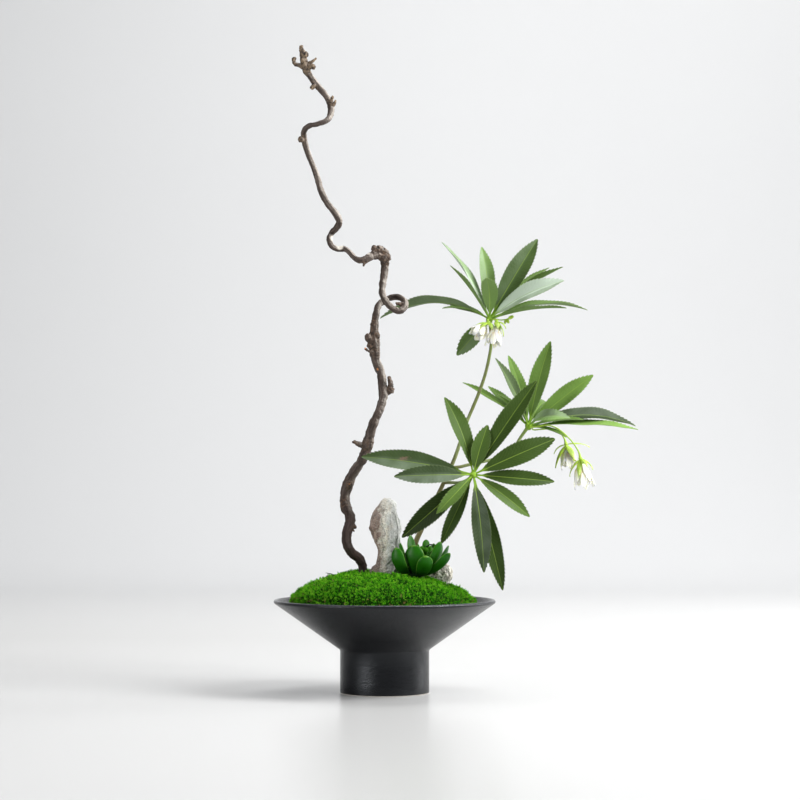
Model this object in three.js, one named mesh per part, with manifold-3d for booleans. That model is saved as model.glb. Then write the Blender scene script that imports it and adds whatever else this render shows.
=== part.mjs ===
// An ikebana arrangement: a matt black footed bowl filled with floral foam and a moss mound, which carries
// a corkscrew branch, a standing stone, a small stone, a succulent and a stem of hellebore with three
// whorls of toothed leaflets and four hanging blossoms.
//
// Millimetres, +Z up, +X to the right and +Y to the back as the arrangement is seen from its front.
// The origin is the centre of the foot's flat underside.

import * as THREE from "three";
import { mergeVertices } from "three/addons/utils/BufferGeometryUtils.js";
import Module from "manifold-3d";

const wasm = await Module();
wasm.setup();

// Driving dimensions of the bowl
const RIM_RADIUS = 130;
const RIM_HEIGHT = 109;
const FOOT_RADIUS = 52.2;
const NECK_HEIGHT = 50.5;
const WALL = 4.6;
const FLOOR = 6;
const FOOT_BEVEL = 1.4;
const BOWL_SIDES = 56;
const LIP_STEPS = 4;

// The gap kept between two pieces that touch, and the size of detail that is dropped
const GAP = 0.4;
const SLIVER = 0.04;

// Driving dimensions of the foam and the moss mound
const FOAM_TOP = 88;
const FOAM_SIDES = 36;
const MOSS_LEFT_RADIUS = 111;
const MOSS_RIGHT_RADIUS = 106;
const MOSS_EDGE_HEIGHT = 106;
const MOSS_RISE = 34;
const MOSS_PEAK_X = -40;
const MOSS_FALL = 0.00062;
const MOSS_POWER = 2.3;
const MOSS_ROUNDNESS = 0.389;
const MOSS_NAP = 1.3;
const MOSS_FOOT_MARGIN = 3;
const MOSS_SIDES = 38;
const MOSS_RINGS = 7;
// Soft lumps of the moss pads: x, y, height, reach
const MOSS_LUMPS = [
  [-62, -66, 4, 26],
  [-12, -74, -4, 16],
  [34, -70, 3, 24],
  [74, 18, 2.5, 20],
  [-30, 58, 3, 30],
  [30, 66, -3, 18],
];

// The hollow that the succulent sits in
const DISH_RADIUS = 24;
const DISH_DEPTH = 9;

// Where the upright roots stand in the moss and foam: x, y, radius
const BRANCH_ROOT = [-27, 8, 5.4];
const STEM_ROOT = [32, 16, 3.2];
const SUCCULENT_ROOT = [42, -8, 4];
const ROOT_FOOT = 58;
const ROOT_STOPS = 5;

// The corkscrew branch from root to tip: x, y, z, radius
const BRANCH_PATH = [
  [-27, 8, ROOT_FOOT, 5.4],
  [-27, 8, 112, 5.4],
  [-27, 8, 134, 5.4],
  [-26, 6, 148, 5.5],
  [-30.5, 1, 157.5, 5.5],
  [-38.5, -6, 164, 5.5],
  [-44, -11, 174.5, 5.6],
  [-44, -10, 188, 5.6],
  [-41, -3, 198, 6],
  [-41, 4.5, 207, 5.8],
  [-46, 13, 217, 6.2],
  [-47, 17, 230.5, 6.1],
  [-43, 15, 245.5, 6.4],
  [-36.5, 11.5, 258.5, 5.7],
  [-27, 8, 272, 5.6],
  [-21.5, 6, 285, 6.4],
  [-19.5, 2.5, 294, 6.4],
  [-16.5, -3, 305.5, 5.6],
  [-12, -6.5, 318.5, 5.2],
  [-6, -6.5, 331.5, 5],
  [-1.5, -1, 347, 5.2],
  [-2.5, 6, 360, 5.3],
  [-4.5, 13.5, 375.5, 5.2],
  [-10, 15, 389, 5.2],
  [-12, 11.5, 402, 6.4],
  [-13.5, 8, 415, 7.6],
  [-12.5, 6, 425, 5.4],
  [-11.5, 6, 435.5, 4.1],
  [-10, 10, 447, 4],
  [-7.5, 15, 456.5, 3.9],
  [-1.5, 19, 461.5, 3.9],
  [5, 20.5, 465, 3.8],
  [11.5, 19, 466.5, 3.8],
  [18.5, 15, 465, 3.8],
  [23.5, 10, 460.5, 3.8],
  [24, 2.5, 454.5, 3.8],
  [20.5, -1, 449.5, 3.8],
  [15, -3, 448, 3.8],
  [8.5, -3, 451.5, 3.8],
  [3.5, -3, 456.5, 3.8],
  [-1, -1, 463, 3.9],
  [-3, 2.5, 471, 4],
  [-2.5, 8, 481, 4.1],
  [-1, 11.5, 491, 4.3],
  [0, 13.5, 501.5, 4.5],
  [-0.5, 11.5, 510, 5.6],
  [-4, 6, 515, 6.4],
  [-10, 1, 515.5, 5.6],
  [-17.5, -4.5, 511.5, 4.8],
  [-25.5, -6.5, 507.5, 3.9],
  [-34, -3, 509.5, 3.4],
  [-41, 4.5, 517.5, 3.2],
  [-48, 10, 523, 3.2],
  [-55.5, 10, 522.5, 3.2],
  [-63, 6, 526, 3.1],
  [-65.5, 4.5, 533.5, 3],
  [-63, 8, 541.5, 3],
  [-57, 1, 546.5, 3.2],
  [-53.5, -6.5, 553, 3.2],
  [-57.5, -8, 562, 3.2],
  [-67.5, -4.5, 575, 3.1],
  [-75, 1, 590, 3.2],
  [-79.5, 8, 606, 2.9],
  [-85, 13.5, 621.5, 2.6],
  [-91.5, 15, 637.5, 2.6],
  [-95.5, 11.5, 652, 3],
  [-95.5, 2.5, 662, 2.6],
  [-89, -6.5, 667, 2.4],
  [-79, -10, 668.5, 2.3],
  [-69, -8, 672.5, 2.5],
  [-64, -1, 681.5, 2.9],
  [-64.5, 8, 694, 3],
  [-70.5, 13.5, 706.5, 2.9],
  [-80.5, 17, 719, 2.8],
  [-89.5, 15, 730.5, 3],
  [-94.5, 13.5, 739.5, 3.9],
  [-96.5, 11.5, 747.5, 3.6],
  [-97, 11.5, 755.5, 3.6],
  [-99, 10, 761, 2.4],
  [-100, 10, 765.5, 1.4],
];
const BRANCH_SIDES = 8;
const BRANCH_RINGS_PER_SPAN = 1.15;

// Spurs, cut snags and bud knobs on the branch: each is a short run of x, y, z, radius
const BRANCH_SPURS = [
  [[-40, 4, 199, 4], [-34.5, 2, 193, 2.2]],
  [[-43, 13, 240, 5], [-42, 3, 242, 4.4], [-42, -0.5, 242.5, 3.2]],
  [[-24, 4, 289, 4], [-32, 1, 292, 3], [-37, -1, 295, 2.2]],
  [[-2, 4, 350, 4], [5, 2, 354, 4.4], [7, 1, 361, 3.2], [5.5, 0, 367, 2.8], [6, 0, 371, 1.8]],
  [[-13, 8, 401, 3], [-19, 5, 401, 1.1], [-24, 3, 405, 0.9]],
  [[-14, 8, 413, 6], [-20, 3, 417, 4], [-19, 2, 422, 2.4]],
  [[-12, 6, 418, 5], [-7, 3, 421, 3.6]],
  [[21, 4, 456, 3], [16, 3, 457, 2.4], [13.5, 2, 456.5, 1.4]],
  [[-8, 2, 515, 5], [-12, -2, 522, 4], [-13.5, -3, 525, 2.4]],
  [[-3, 6, 515, 5], [-2, 1, 517, 4.4]],
  [[-21, -6, 509, 3], [-24.5, -8, 502, 2], [-25, -8, 500, 1.2]],
  [[-95.5, 9, 652, 2.6], [-99.5, 6, 653, 2.4], [-101.5, 5, 651, 1.4]],
  [[-65, 6, 692, 2.6], [-60, 4, 695, 1.6], [-58.5, 3, 699, 1]],
  [[-65, 6, 695, 2.4], [-62.5, 4, 701, 1.4], [-62, 4, 705, 0.9]],
  [[-84, 16, 719, 2.4], [-87, 14, 716, 2], [-88, 13, 714.5, 1.2]],
  [[-95, 13, 740, 3], [-103, 11, 743, 2], [-107.5, 10, 743.5, 1.7], [-108.5, 10, 751, 2.2]],
  [[-92, 13, 742, 3], [-86, 11, 741, 2.8], [-84, 10, 738.5, 1.8]],
  [[-90, 12, 745, 1.2], [-82, 11, 750.5, 0.9]],
  [[-96, 11, 753, 3], [-92.5, 9, 756, 1.8]],
];
const SPUR_SIDES = 5;

// The standing stone, from its buried foot to its top: z, centre x, half width, half depth
const STONE_Y = 8;
const STONE_LEVELS = [
  [89, 1, 13, 10],
  [118, 2.5, 17, 11.5],
  [141, 3, 19, 11.5],
  [148, 5.5, 15.5, 10],
  [157, 4.5, 14.5, 9.5],
  [166, 5, 13.2, 9.8],
  [173, 3.5, 15.5, 11],
  [182, 2, 18, 12],
  [191, 1, 19.2, 12.5],
  [203, 1, 17.3, 11.5],
  [214, 1.5, 12.8, 9],
  [222, 2.5, 8.6, 6],
  [227.5, 2, 3.4, 2.6],
];
// The slab's broken cross-section, as shares of its half width and half depth, seen from above
const STONE_SECTION = [
  [1, 0.15],
  [0.62, 0.82],
  [-0.08, 1],
  [-0.7, 0.74],
  [-1, 0.08],
  [-0.78, -0.62],
  [-0.28, -1],
  [0.42, -0.9],
  [0.88, -0.48],
];

// The small stone behind the succulent: centre, half sizes, how boxy it is and how it leans (degrees)
const PEBBLE_CENTRE = [63, 24, 137];
const PEBBLE_HALF = [16.5, 13, 15.5];
const PEBBLE_BOXINESS = 2.9;
const PEBBLE_LEAN = 8;
const PEBBLE_BULGE = 0.035;
const PEBBLE_DETAIL = 2;

// The succulent's fleshy leaves: the tip's place from the root (x, y, z), half width, sag of the middle
const SUCCULENT_BASE = 138;
const SUCCULENT_LEAVES = [
  [-31, -17, 33, 8, 7],
  [-9, -15, 35, 11.5, 7],
  [6, -27, 23, 10.5, 6],
  [23, -14, 39, 9, 7],
  [34, -20, 26, 7.5, 6],
  [33, 4, 34, 6, 6],
  [-24, 6, 37, 6.5, 6],
  [-12, 10, 46, 7, 4],
  [8, 31, 31, 8.5, 7],
  [16, 20, 36, 7, 6],
];
// The small leaves of its heart, from a point above the root
const SUCCULENT_HEART = [4, 4, 22];
const SUCCULENT_HEART_LEAVES = [
  [-8, -5, 14, 3.4, 2],
  [10, -3, 12, 3.4, 2],
  [5, 5, 20, 4, 3],
  [-3, 7, 16, 3.4, 2],
  [2, -9, 11, 3.2, 2],
];
const FLESHY_SIDES = 6;
const FLESHY_STATIONS = [[0, 0.55], [0.38, 0.84], [0.72, 1], [0.92, 0.66], [0.99, 0.3]];
const FLESHY_THICKNESS = 0.45;
const FLESHY_MOST = 3.6;

// The hellebore's stems, from root to whorl: x, y, z, radius
const HUB_RADIUS = 4.2;
const TOP_HUB = [124, 8, 439];
const RIGHT_HUB = [171, 30, 313];
const FRONT_HUB = [103, -28, 255];
const MAIN_STEM = [
  [32, 16, ROOT_FOOT + 6, 3.2],
  [32, 16, 112, 3.2],
  [32.5, 16, 140, 3.2],
  [36, 17, 172, 3.1],
  [43, 18, 190, 3],
  [55, 19, 215, 2.7],
  [68, 20, 242, 2.5],
  [82, 20, 273, 2.3],
  [89, 20, 293, 2.1],
  [97, 20, 317, 2],
  [104, 19, 334, 2],
  [111, 18, 351, 2],
  [118, 16, 371, 1.9],
  [123, 14, 391, 1.9],
  [126, 12, 410, 1.8],
  [125.5, 10, 424, 1.8],
  [...TOP_HUB, 1.8],
];
const RIGHT_STEM = [
  [78, 20, 264, 2],
  [88, 21, 264.5, 1.9],
  [99, 22, 267, 1.9],
  [126, 24, 273, 1.8],
  [140, 26, 277, 1.8],
  [152, 27.5, 285, 1.8],
  [161, 29, 299, 1.8],
  [...RIGHT_HUB, 1.8],
];
const FRONT_STEM = [
  [70, 20, 246, 2],
  [78, 14, 246, 1.9],
  [88, 0, 246, 1.8],
  [97, -14, 249.5, 1.8],
  [...FRONT_HUB, 1.8],
];
const STEM_SIDES = 6;
const STEM_RINGS_PER_SPAN = 1.5;

// Each whorl: its hub, the way its middle faces, and its leaflets.
// A leaflet is the tip's place from the hub (x, y, z), full width, arch of the midrib, turn in degrees
const WHORLS = {
  leaves_top: {
    hub: TOP_HUB,
    axis: [0.05, -0.12, 1],
    leaflets: [
      [-130, 37, 4, 24, 22, 25],
      [-55, 48, 17, 18, 6, -15],
      [-56, 30, 95, 22, 5, 10],
      [-47, -18, 62, 18, 3, 0],
      [-8, 35, 90, 20, 4, 0],
      [-6, -60, 43, 22, 7, 0],
      [58, 15, 97, 28, 6, 50],
      [74, 45, 66, 20, 4, 0],
      [86, -12, 61, 24, 5, 15],
      [85, -40, 42, 26, 8, 45],
      [117, 12, 12, 24, 12, 8],
      [88, -40, 10, 18, 5, -10],
      [-39, -5, -43, 22, 4, -70],
      [10, 78, 42, 22, 12, 0],
      [58, 78, 36, 24, 12, 0],
    ],
  },
  leaves_right: {
    hub: RIGHT_HUB,
    axis: [0.12, -0.35, 0.93],
    leaflets: [
      [-78, 15, 53, 18, 4, -10],
      [-46, 48, 50, 17, 4, -20],
      [-39, 10, 82, 20, 3, 0],
      [-22, 40, 87, 18, 4, 0],
      [-39, -16, 38, 17, 6, 0],
      [27, 5, 102, 24, 4, 0],
      [77, -5, 61, 24, 5, 45],
      [131, 30, 1, 26, 16, 6],
      [46, -45, 8, 20, 10, 38],
      [63, -26, 7, 16, 3, 0],
      [130, -5, -4, 20, 5, 4],
      [43, -28, -14, 14, 3, 0],
      [28, 68, 30, 22, 12, 0],
    ],
  },
  leaves_front: {
    hub: FRONT_HUB,
    axis: [0.08, -0.96, 0.27],
    leaflets: [
      [-33, 18, 91, 25, 8, 20],
      [17, 2, 58, 22, 4, 0],
      [75, 10, 110, 27, 6, -20],
      [96, 8, 42, 29, 8, 0],
      [95, 6, -8, 21, 6, 0],
      [66, 4, -49, 19, 5, 0],
      [35, 16, -135, 24, 8, 0],
      [12, -12, -113, 24, 8, 0],
      [-37, 23, -81, 18, 5, 0],
      [-43, -18, -45, 17, 6, 0],
      [-83, 4, -73, 26, 8, 0],
      [-92, -16, -2, 24, 6, 0],
      [-130, 16, 21, 28, 8, 5],
    ],
  },
};
const BLADE = 0.7;
const BLADE_START = 0.02;
const PETIOLE_THICKNESS = 1.9;
const PETIOLE_HALF_WIDTH = 1.1;
const PETIOLE_SHARE = 0.09;
const LEAF_WIDEST = [0.85, 0.8];
const LEAF_FOLD = 14;
const TOOTH_LENGTH = 27;
const TOOTH_DEPTH = 0.1;
const TOOTH_STEP = 0.012;
const LEAF_TIP = 0.25;

// Each blossom: the stalk from its whorl (x, y, z), the way it hangs, petal length, petal spread and sepals.
// A sepal is the tip's place from the calyx (x, y, z) and its width
const STALK_RADIUS = 0.8;
const CALYX_RADIUS = 2.2;
const BLOSSOMS = {
  right_upper: {
    hub: RIGHT_HUB,
    stalk: [[177.8, 30.4, 308.8], [188, 27, 309.5], [199, 21, 309.5], [207, 16, 305.5], [212, 12, 298.5],
      [214, 9, 291]],
    hang: [0.16, -0.05, -1],
    petalLength: 25,
    petalSpread: 7,
    sepals: [[-13, -7, -28, 4.4], [28, 2, -3, 4.4], [9, -13, -20, 6], [-14, 9, -11, 3], [4, 12, -20, 4.4]],
  },
  right_lower: {
    hub: RIGHT_HUB,
    stalk: [[175, 22, 311.5], [183, 13.5, 312.5], [193, 9, 313.5], [203, 4, 310], [213, 0, 302],
      [222, -2, 292], [228, -2, 282], [230, -2, 274]],
    hang: [0.13, -0.05, -1],
    petalLength: 31,
    petalSpread: 8,
    sepals: [[15, 2, -13, 3.4], [-13, -4, -21, 3.4], [-3, -12, -24, 4], [7, -13, -10, 4], [4, 14, -18, 4]],
  },
  top_left: {
    hub: TOP_HUB,
    stalk: [[122.4, 3.4, 438.5], [121.5, -1, 437.3], [121.5, -5, 433.8]],
    hang: [-0.62, -0.3, -0.75],
    petalLength: 20,
    petalSpread: 8,
    sepals: [[-16.5, -2, -3, 4.6], [-8, -14, -7, 4.2], [6, -9, -10, 3.4]],
  },
  top_right: {
    hub: TOP_HUB,
    stalk: [[127, 3, 438.3], [130, -3, 437.5], [131.5, -7, 434.5]],
    hang: [-0.14, -0.1, -1],
    petalLength: 25,
    petalSpread: 6,
    sepals: [[6, 0, -15, 3.8], [2, -13, -10, 4.2], [4, 10, -13, 3.6], [10, -8, -6, 3.4]],
  },
};
const PETAL_COUNT = 5;
const PETAL_WIDTH = 8;
const PETAL_THICKNESS = 0.8;
const PETAL_BOW = 3;
const PETAL_DROP = 1.1;
const PETAL_FOLD = 12;
const PETAL_TIP = 0.35;
const PETAL_STATIONS = 3;
const SHORT_PETAL = 0.86;
const HEART_RADIUS = 1.6;
const SEPAL_FOLD = 10;
const SEPAL_TIP = 0.3;
const SEPAL_STATIONS = 3;

// Materials, one for each kind of piece
const finish = (color, roughness) => new THREE.MeshStandardMaterial({ color, roughness, metalness: 0 });
const CERAMIC = finish(0x202124, 0.5);
const FOAM = finish(0x3d5a3a, 0.95);
const MOSS = finish(0x2f8a12, 0.95);
const BARK = finish(0x6b5b50, 0.8);
const GREY_STONE = finish(0xa9a397, 0.9);
const PALE_STONE = finish(0xb4b0a4, 0.9);
const SUCCULENT_GREEN = finish(0x12681c, 0.4);
const STEM_GREEN = finish(0x6d7342, 0.6);
const LEAF_GREEN = finish(0x34592c, 0.5);
const CALYX_GREEN = finish(0x93b83a, 0.55);
const PETAL_WHITE = finish(0xf1efe6, 0.5);

const vector = ([x, y, z]) => new THREE.Vector3(x, y, z);
const radians = THREE.MathUtils.degToRad;

// A closed mesh as a solid that can be joined and cut
function solidOf(geometry) {
  const bare = (geometry.index ? geometry.toNonIndexed() : geometry.clone());
  bare.deleteAttribute("normal");
  bare.deleteAttribute("uv");
  const merged = mergeVertices(bare, 1e-3);
  const mesh = new wasm.Mesh({
    numProp: 3,
    vertProperties: merged.attributes.position.array,
    triVerts: new Uint32Array(merged.index.array),
  });
  return new wasm.Manifold(mesh);
}

// A solid as a mesh again, without its tiniest slivers
function geometryOf(solid) {
  const { vertProperties, triVerts } = solid.simplify(SLIVER).getMesh();
  return new THREE.BufferGeometry()
    .setAttribute("position", new THREE.BufferAttribute(new Float32Array(vertProperties), 3))
    .setIndex(new THREE.BufferAttribute(new Uint32Array(triVerts), 1));
}

function pieceOf(name, geometry, material) {
  const piece = new THREE.Mesh(geometry, material);
  piece.name = name;
  return piece;
}

// A closed skin through rings of points that all have the same count, capped at both ends
function loft(rings) {
  const sides = rings[0].length;
  const points = rings.flat();
  const first = points.length;
  const ends = [rings[0], rings[rings.length - 1]].map((ring) =>
    ring.reduce((sum, p) => sum.add(p), new THREE.Vector3()).divideScalar(sides),
  );
  const faces = [];
  for (let i = 0; i + 1 < rings.length; i++)
    for (let k = 0; k < sides; k++) {
      const a = i * sides + k;
      const b = i * sides + ((k + 1) % sides);
      faces.push(a, b, b + sides, a, b + sides, a + sides);
    }
  const last = (rings.length - 1) * sides;
  for (let k = 0; k < sides; k++) {
    const next = (k + 1) % sides;
    faces.push(first, next, k, first + 1, last + k, last + next);
  }
  return new THREE.BufferGeometry().setFromPoints([...points, ...ends]).setIndex(faces);
}

// Places along a smooth curve through x, y, z, radius stops, with a frame that doesn't spin
function alongPath(stops, ringsPerSpan) {
  const curve = new THREE.CatmullRomCurve3(stops.map(vector), false, "catmullrom", 0.5);
  const steps = Math.round((stops.length - 1) * ringsPerSpan);
  const places = [];
  let side = null;
  for (let i = 0; i <= steps; i++) {
    const t = i / steps;
    const along = curve.getTangent(t);
    if (!side) side = new THREE.Vector3(Math.abs(along.x) > 0.8 ? 0 : 1, Math.abs(along.x) > 0.8 ? 1 : 0, 0);
    side = side.clone().addScaledVector(along, -side.dot(along)).normalize();
    const span = Math.min(stops.length - 2, Math.floor(t * (stops.length - 1)));
    const share = t * (stops.length - 1) - span;
    const radius = stops[span][3] * (1 - share) + stops[span + 1][3] * share;
    places.push({ point: curve.getPoint(t), along, side, up: along.clone().cross(side), radius });
  }
  return places;
}

// A ring of points round a centre, with its own reach along each of two directions
function ovalRing(centre, side, across, up, high, sides) {
  return Array.from({ length: sides }, (_, k) => {
    const angle = (2 * Math.PI * k) / sides;
    return centre
      .clone()
      .addScaledVector(side, across * Math.cos(angle))
      .addScaledVector(up, high * Math.sin(angle));
  });
}

// A round rod of changing radius along a curve
function rod(stops, sides, ringsPerSpan) {
  const rings = alongPath(stops, ringsPerSpan).map(({ point, side, up, radius }) =>
    ovalRing(point, side, radius, up, radius, sides),
  );
  return solidOf(loft(rings));
}

// The same rod, wider all round, to cut the hole it stands in
const widened = (stops) => stops.map(([x, y, z, radius]) => [x, y, z, radius + 1.5 * GAP]);

function uprightHole([x, y, radius], low, high) {
  const hole = new THREE.CylinderGeometry(radius + GAP, radius + GAP, high - low, 16);
  return solidOf(hole.rotateX(Math.PI / 2).translate(x, y, (low + high) / 2));
}

const ORIGIN = new THREE.Vector2(0, 0);

// The bowl's wall leans out from the neck, and its outer line just touches the round of the lip
const LIP_CENTRE = new THREE.Vector2(RIM_RADIUS - WALL / 2, RIM_HEIGHT - WALL / 2);
const NECK = new THREE.Vector2(FOOT_RADIUS, NECK_HEIGHT);
const TO_LIP = LIP_CENTRE.clone().sub(NECK);
const WALL_ANGLE = TO_LIP.angle() - Math.asin(WALL / 2 / TO_LIP.length());
const WELL_RADIUS = FOOT_RADIUS - WALL;

// Height of the bowl's inner face at a radius, and the radius at a height
function insideHeight(radius) {
  const start = new THREE.Vector2(NECK.x - WALL * Math.sin(WALL_ANGLE), NECK.y + WALL * Math.cos(WALL_ANGLE));
  return start.y + (radius - start.x) * Math.tan(WALL_ANGLE);
}
const insideRadius = (height) => WELL_RADIUS + (height - insideHeight(WELL_RADIUS)) / Math.tan(WALL_ANGLE);

function turned(profile, sides) {
  return new THREE.LatheGeometry(profile, sides).rotateX(Math.PI / 2);
}

function bowl() {
  const profile = [
    new THREE.Vector2(0, 0),
    new THREE.Vector2(FOOT_RADIUS - FOOT_BEVEL, 0),
    new THREE.Vector2(FOOT_RADIUS, FOOT_BEVEL),
    NECK.clone(),
  ];
  for (let i = 0; i <= LIP_STEPS; i++) {
    const angle = WALL_ANGLE - Math.PI / 2 + (Math.PI * i) / LIP_STEPS;
    profile.push(new THREE.Vector2(WALL / 2, 0).rotateAround(ORIGIN, angle).add(LIP_CENTRE));
  }
  profile.push(
    new THREE.Vector2(WELL_RADIUS, insideHeight(WELL_RADIUS)),
    new THREE.Vector2(WELL_RADIUS, FLOOR),
    new THREE.Vector2(0, FLOOR),
  );
  return turned(profile, BOWL_SIDES);
}

function foam() {
  const profile = [
    new THREE.Vector2(0, FLOOR + GAP),
    new THREE.Vector2(WELL_RADIUS - GAP, FLOOR + GAP),
    new THREE.Vector2(WELL_RADIUS - GAP, insideHeight(WELL_RADIUS)),
    new THREE.Vector2(insideRadius(FOAM_TOP) - 2 * GAP, FOAM_TOP),
    new THREE.Vector2(0, FOAM_TOP),
  ];
  let block = solidOf(turned(profile, FOAM_SIDES));
  for (const root of [BRANCH_ROOT, STEM_ROOT, SUCCULENT_ROOT])
    block = block.subtract(uprightHole(root, ROOT_FOOT - GAP, FOAM_TOP + GAP));
  return geometryOf(block);
}

function mossEdge(angle) {
  const middle = (MOSS_LEFT_RADIUS + MOSS_RIGHT_RADIUS) / 2;
  const lean = (MOSS_RIGHT_RADIUS - MOSS_LEFT_RADIUS) / 2;
  return middle + lean * Math.cos(angle) + 1.2 * Math.sin(3 * angle + 1) + 0.8 * Math.sin(7 * angle);
}

// The moss pads' top surface
function mossHeight(x, y) {
  const share = Math.min(1, Math.hypot(x, y) / mossEdge(Math.atan2(y, x)));
  const rise = MOSS_RISE - MOSS_FALL * (x - MOSS_PEAK_X) ** 2;
  const dome = (1 - share ** MOSS_POWER) ** MOSS_ROUNDNESS;
  const lumps = MOSS_LUMPS.reduce(
    (sum, [lx, ly, height, reach]) => sum + height * Math.exp(-((x - lx) ** 2 + (y - ly) ** 2) / reach ** 2),
    0,
  );
  const nap = MOSS_NAP * Math.sin(x / 7 + y / 11) * Math.sin(y / 6 - x / 13);
  return MOSS_EDGE_HEIGHT + rise * dome + (lumps + nap) * (1 - share ** 4);
}

function mossMound() {
  const ring = (share, heightAt) =>
    Array.from({ length: MOSS_SIDES }, (_, k) => {
      const angle = (2 * Math.PI * k) / MOSS_SIDES;
      const radius = share * mossEdge(angle);
      const x = radius * Math.cos(angle);
      const y = radius * Math.sin(angle);
      return new THREE.Vector3(x, y, heightAt(x, y, radius));
    });
  const underside = FOAM_TOP + GAP;
  const flat = (insideRadius(underside) - MOSS_FOOT_MARGIN) / MOSS_LEFT_RADIUS;
  const rings = [
    ring(0.3, () => underside),
    ring(flat, () => underside),
    ring(0.985, (x, y, radius) => insideHeight(radius) + 2 * GAP),
    ring(1, (x, y, radius) => insideHeight(radius) + 2),
    ring(1, () => MOSS_EDGE_HEIGHT),
  ];
  for (let i = MOSS_RINGS - 1; i >= 1; i--) {
    const share = Math.sin(((Math.PI / 2) * i) / MOSS_RINGS);
    rings.push(ring(share, (x, y) => mossHeight(x, y)));
  }
  const over = MOSS_EDGE_HEIGHT + 2 * MOSS_RISE;
  let mound = solidOf(loft(rings)).subtract(uprightHole(SUCCULENT_ROOT, FOAM_TOP - GAP, over));
  mound = mound.subtract(rod(widened(BRANCH_PATH.slice(0, ROOT_STOPS)), BRANCH_SIDES, BRANCH_RINGS_PER_SPAN));
  mound = mound.subtract(rod(widened(MAIN_STEM.slice(0, ROOT_STOPS)), STEM_SIDES, STEM_RINGS_PER_SPAN));
  const dish = new THREE.SphereGeometry(1, 16, 10).scale(DISH_RADIUS, DISH_RADIUS, DISH_DEPTH);
  mound = mound.subtract(solidOf(dish.translate(SUCCULENT_ROOT[0], SUCCULENT_ROOT[1], SUCCULENT_BASE + 3)));
  mound = mound.subtract(solidOf(standingStone(GAP))).subtract(solidOf(pebble(GAP)));
  return geometryOf(mound);
}

function standingStone(grow) {
  const rings = STONE_LEVELS.map(([z, middle, width, depth], level) =>
    STONE_SECTION.map(([across, back], k) => {
      const chip = 1 + 0.07 * Math.sin(2.4 * level + 1.9 * k) + 0.05 * Math.sin(1.3 * level * k + k);
      return new THREE.Vector3(
        middle + across * (width * chip + grow),
        STONE_Y + back * (depth * chip + grow),
        level === 0 ? z - grow : z,
      );
    }),
  );
  return loft(rings);
}

// Uneven bulges of a broken stone, by direction
function bulge({ x, y, z }) {
  const waves = [3.1 * x + 1.7 * y + 0.4, 2.3 * y - 3.7 * z + 1.9, 4.1 * z + 2.2 * x + 5];
  return 1 + PEBBLE_BULGE * waves.reduce((sum, wave) => sum + Math.sin(wave), 0);
}

function pebble(grow) {
  const rock = new THREE.IcosahedronGeometry(1, PEBBLE_DETAIL);
  const places = rock.attributes.position;
  const point = new THREE.Vector3();
  const p = PEBBLE_BOXINESS;
  for (let i = 0; i < places.count; i++) {
    point.fromBufferAttribute(places, i).normalize();
    const round = (Math.abs(point.x) ** p + Math.abs(point.y) ** p + Math.abs(point.z) ** p) ** (-1 / p);
    point.multiplyScalar(round * bulge(point));
    places.setXYZ(
      i,
      point.x * (PEBBLE_HALF[0] + grow),
      point.y * (PEBBLE_HALF[1] + grow),
      point.z * (PEBBLE_HALF[2] + grow),
    );
  }
  return rock.rotateY(radians(PEBBLE_LEAN)).translate(...PEBBLE_CENTRE);
}

function branch() {
  const trunk = rod(BRANCH_PATH, BRANCH_SIDES, BRANCH_RINGS_PER_SPAN);
  const spurs = BRANCH_SPURS.map((stops) => rod(stops, SPUR_SIDES, 1));
  return geometryOf(wasm.Manifold.union([trunk, ...spurs]));
}

// A plump leaf: narrow at its base, widest past its middle, round at its tip, and sagging outwards
function fleshyLeaf(root, [x, y, z, halfWidth, sag]) {
  const reach = new THREE.Vector3(x, y, z);
  const side = new THREE.Vector3(0, 0, 1).cross(reach).normalize();
  const along = reach.clone().normalize();
  const face = along.clone().cross(side);
  const rings = FLESHY_STATIONS.map(([u, share]) => {
    const middle = root.clone().addScaledVector(reach, u).addScaledVector(face, -4 * sag * u * (1 - u));
    const thick = Math.min(FLESHY_MOST, halfWidth * FLESHY_THICKNESS) * Math.max(0.6, share);
    return ovalRing(middle, side, halfWidth * share, face, thick, FLESHY_SIDES);
  });
  return solidOf(loft(rings));
}

function succulent() {
  const [x, y, radius] = SUCCULENT_ROOT;
  const root = new THREE.Vector3(x, y, SUCCULENT_BASE);
  const heart = vector(SUCCULENT_HEART).add(root);
  const stops = [
    [x, y, ROOT_FOOT, radius],
    [x, y, SUCCULENT_BASE - 2, radius],
    [x, y, SUCCULENT_BASE + 4, radius],
    [...heart.toArray(), 3],
  ];
  const leaves = [
    ...SUCCULENT_LEAVES.map((leaf) => fleshyLeaf(root, leaf)),
    ...SUCCULENT_HEART_LEAVES.map((leaf) => fleshyLeaf(heart, leaf)),
  ];
  return geometryOf(wasm.Manifold.union([rod(stops, 8, 1), ...leaves]));
}

// A stem that ends just clear of the whorl's hub
function stemTo(hub, stops) {
  const before = vector(stops[stops.length - 2]);
  const end = vector(hub);
  end.addScaledVector(before.sub(end).normalize(), HUB_RADIUS + GAP);
  return [...stops.slice(0, -1), [end.x, end.y, end.z, stops[stops.length - 1][3]]];
}

function helleboreStem() {
  const runs = [stemTo(TOP_HUB, MAIN_STEM), stemTo(RIGHT_HUB, RIGHT_STEM), stemTo(FRONT_HUB, FRONT_STEM)];
  return geometryOf(wasm.Manifold.union(runs.map((stops) => rod(stops, STEM_SIDES, STEM_RINGS_PER_SPAN))));
}

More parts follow.
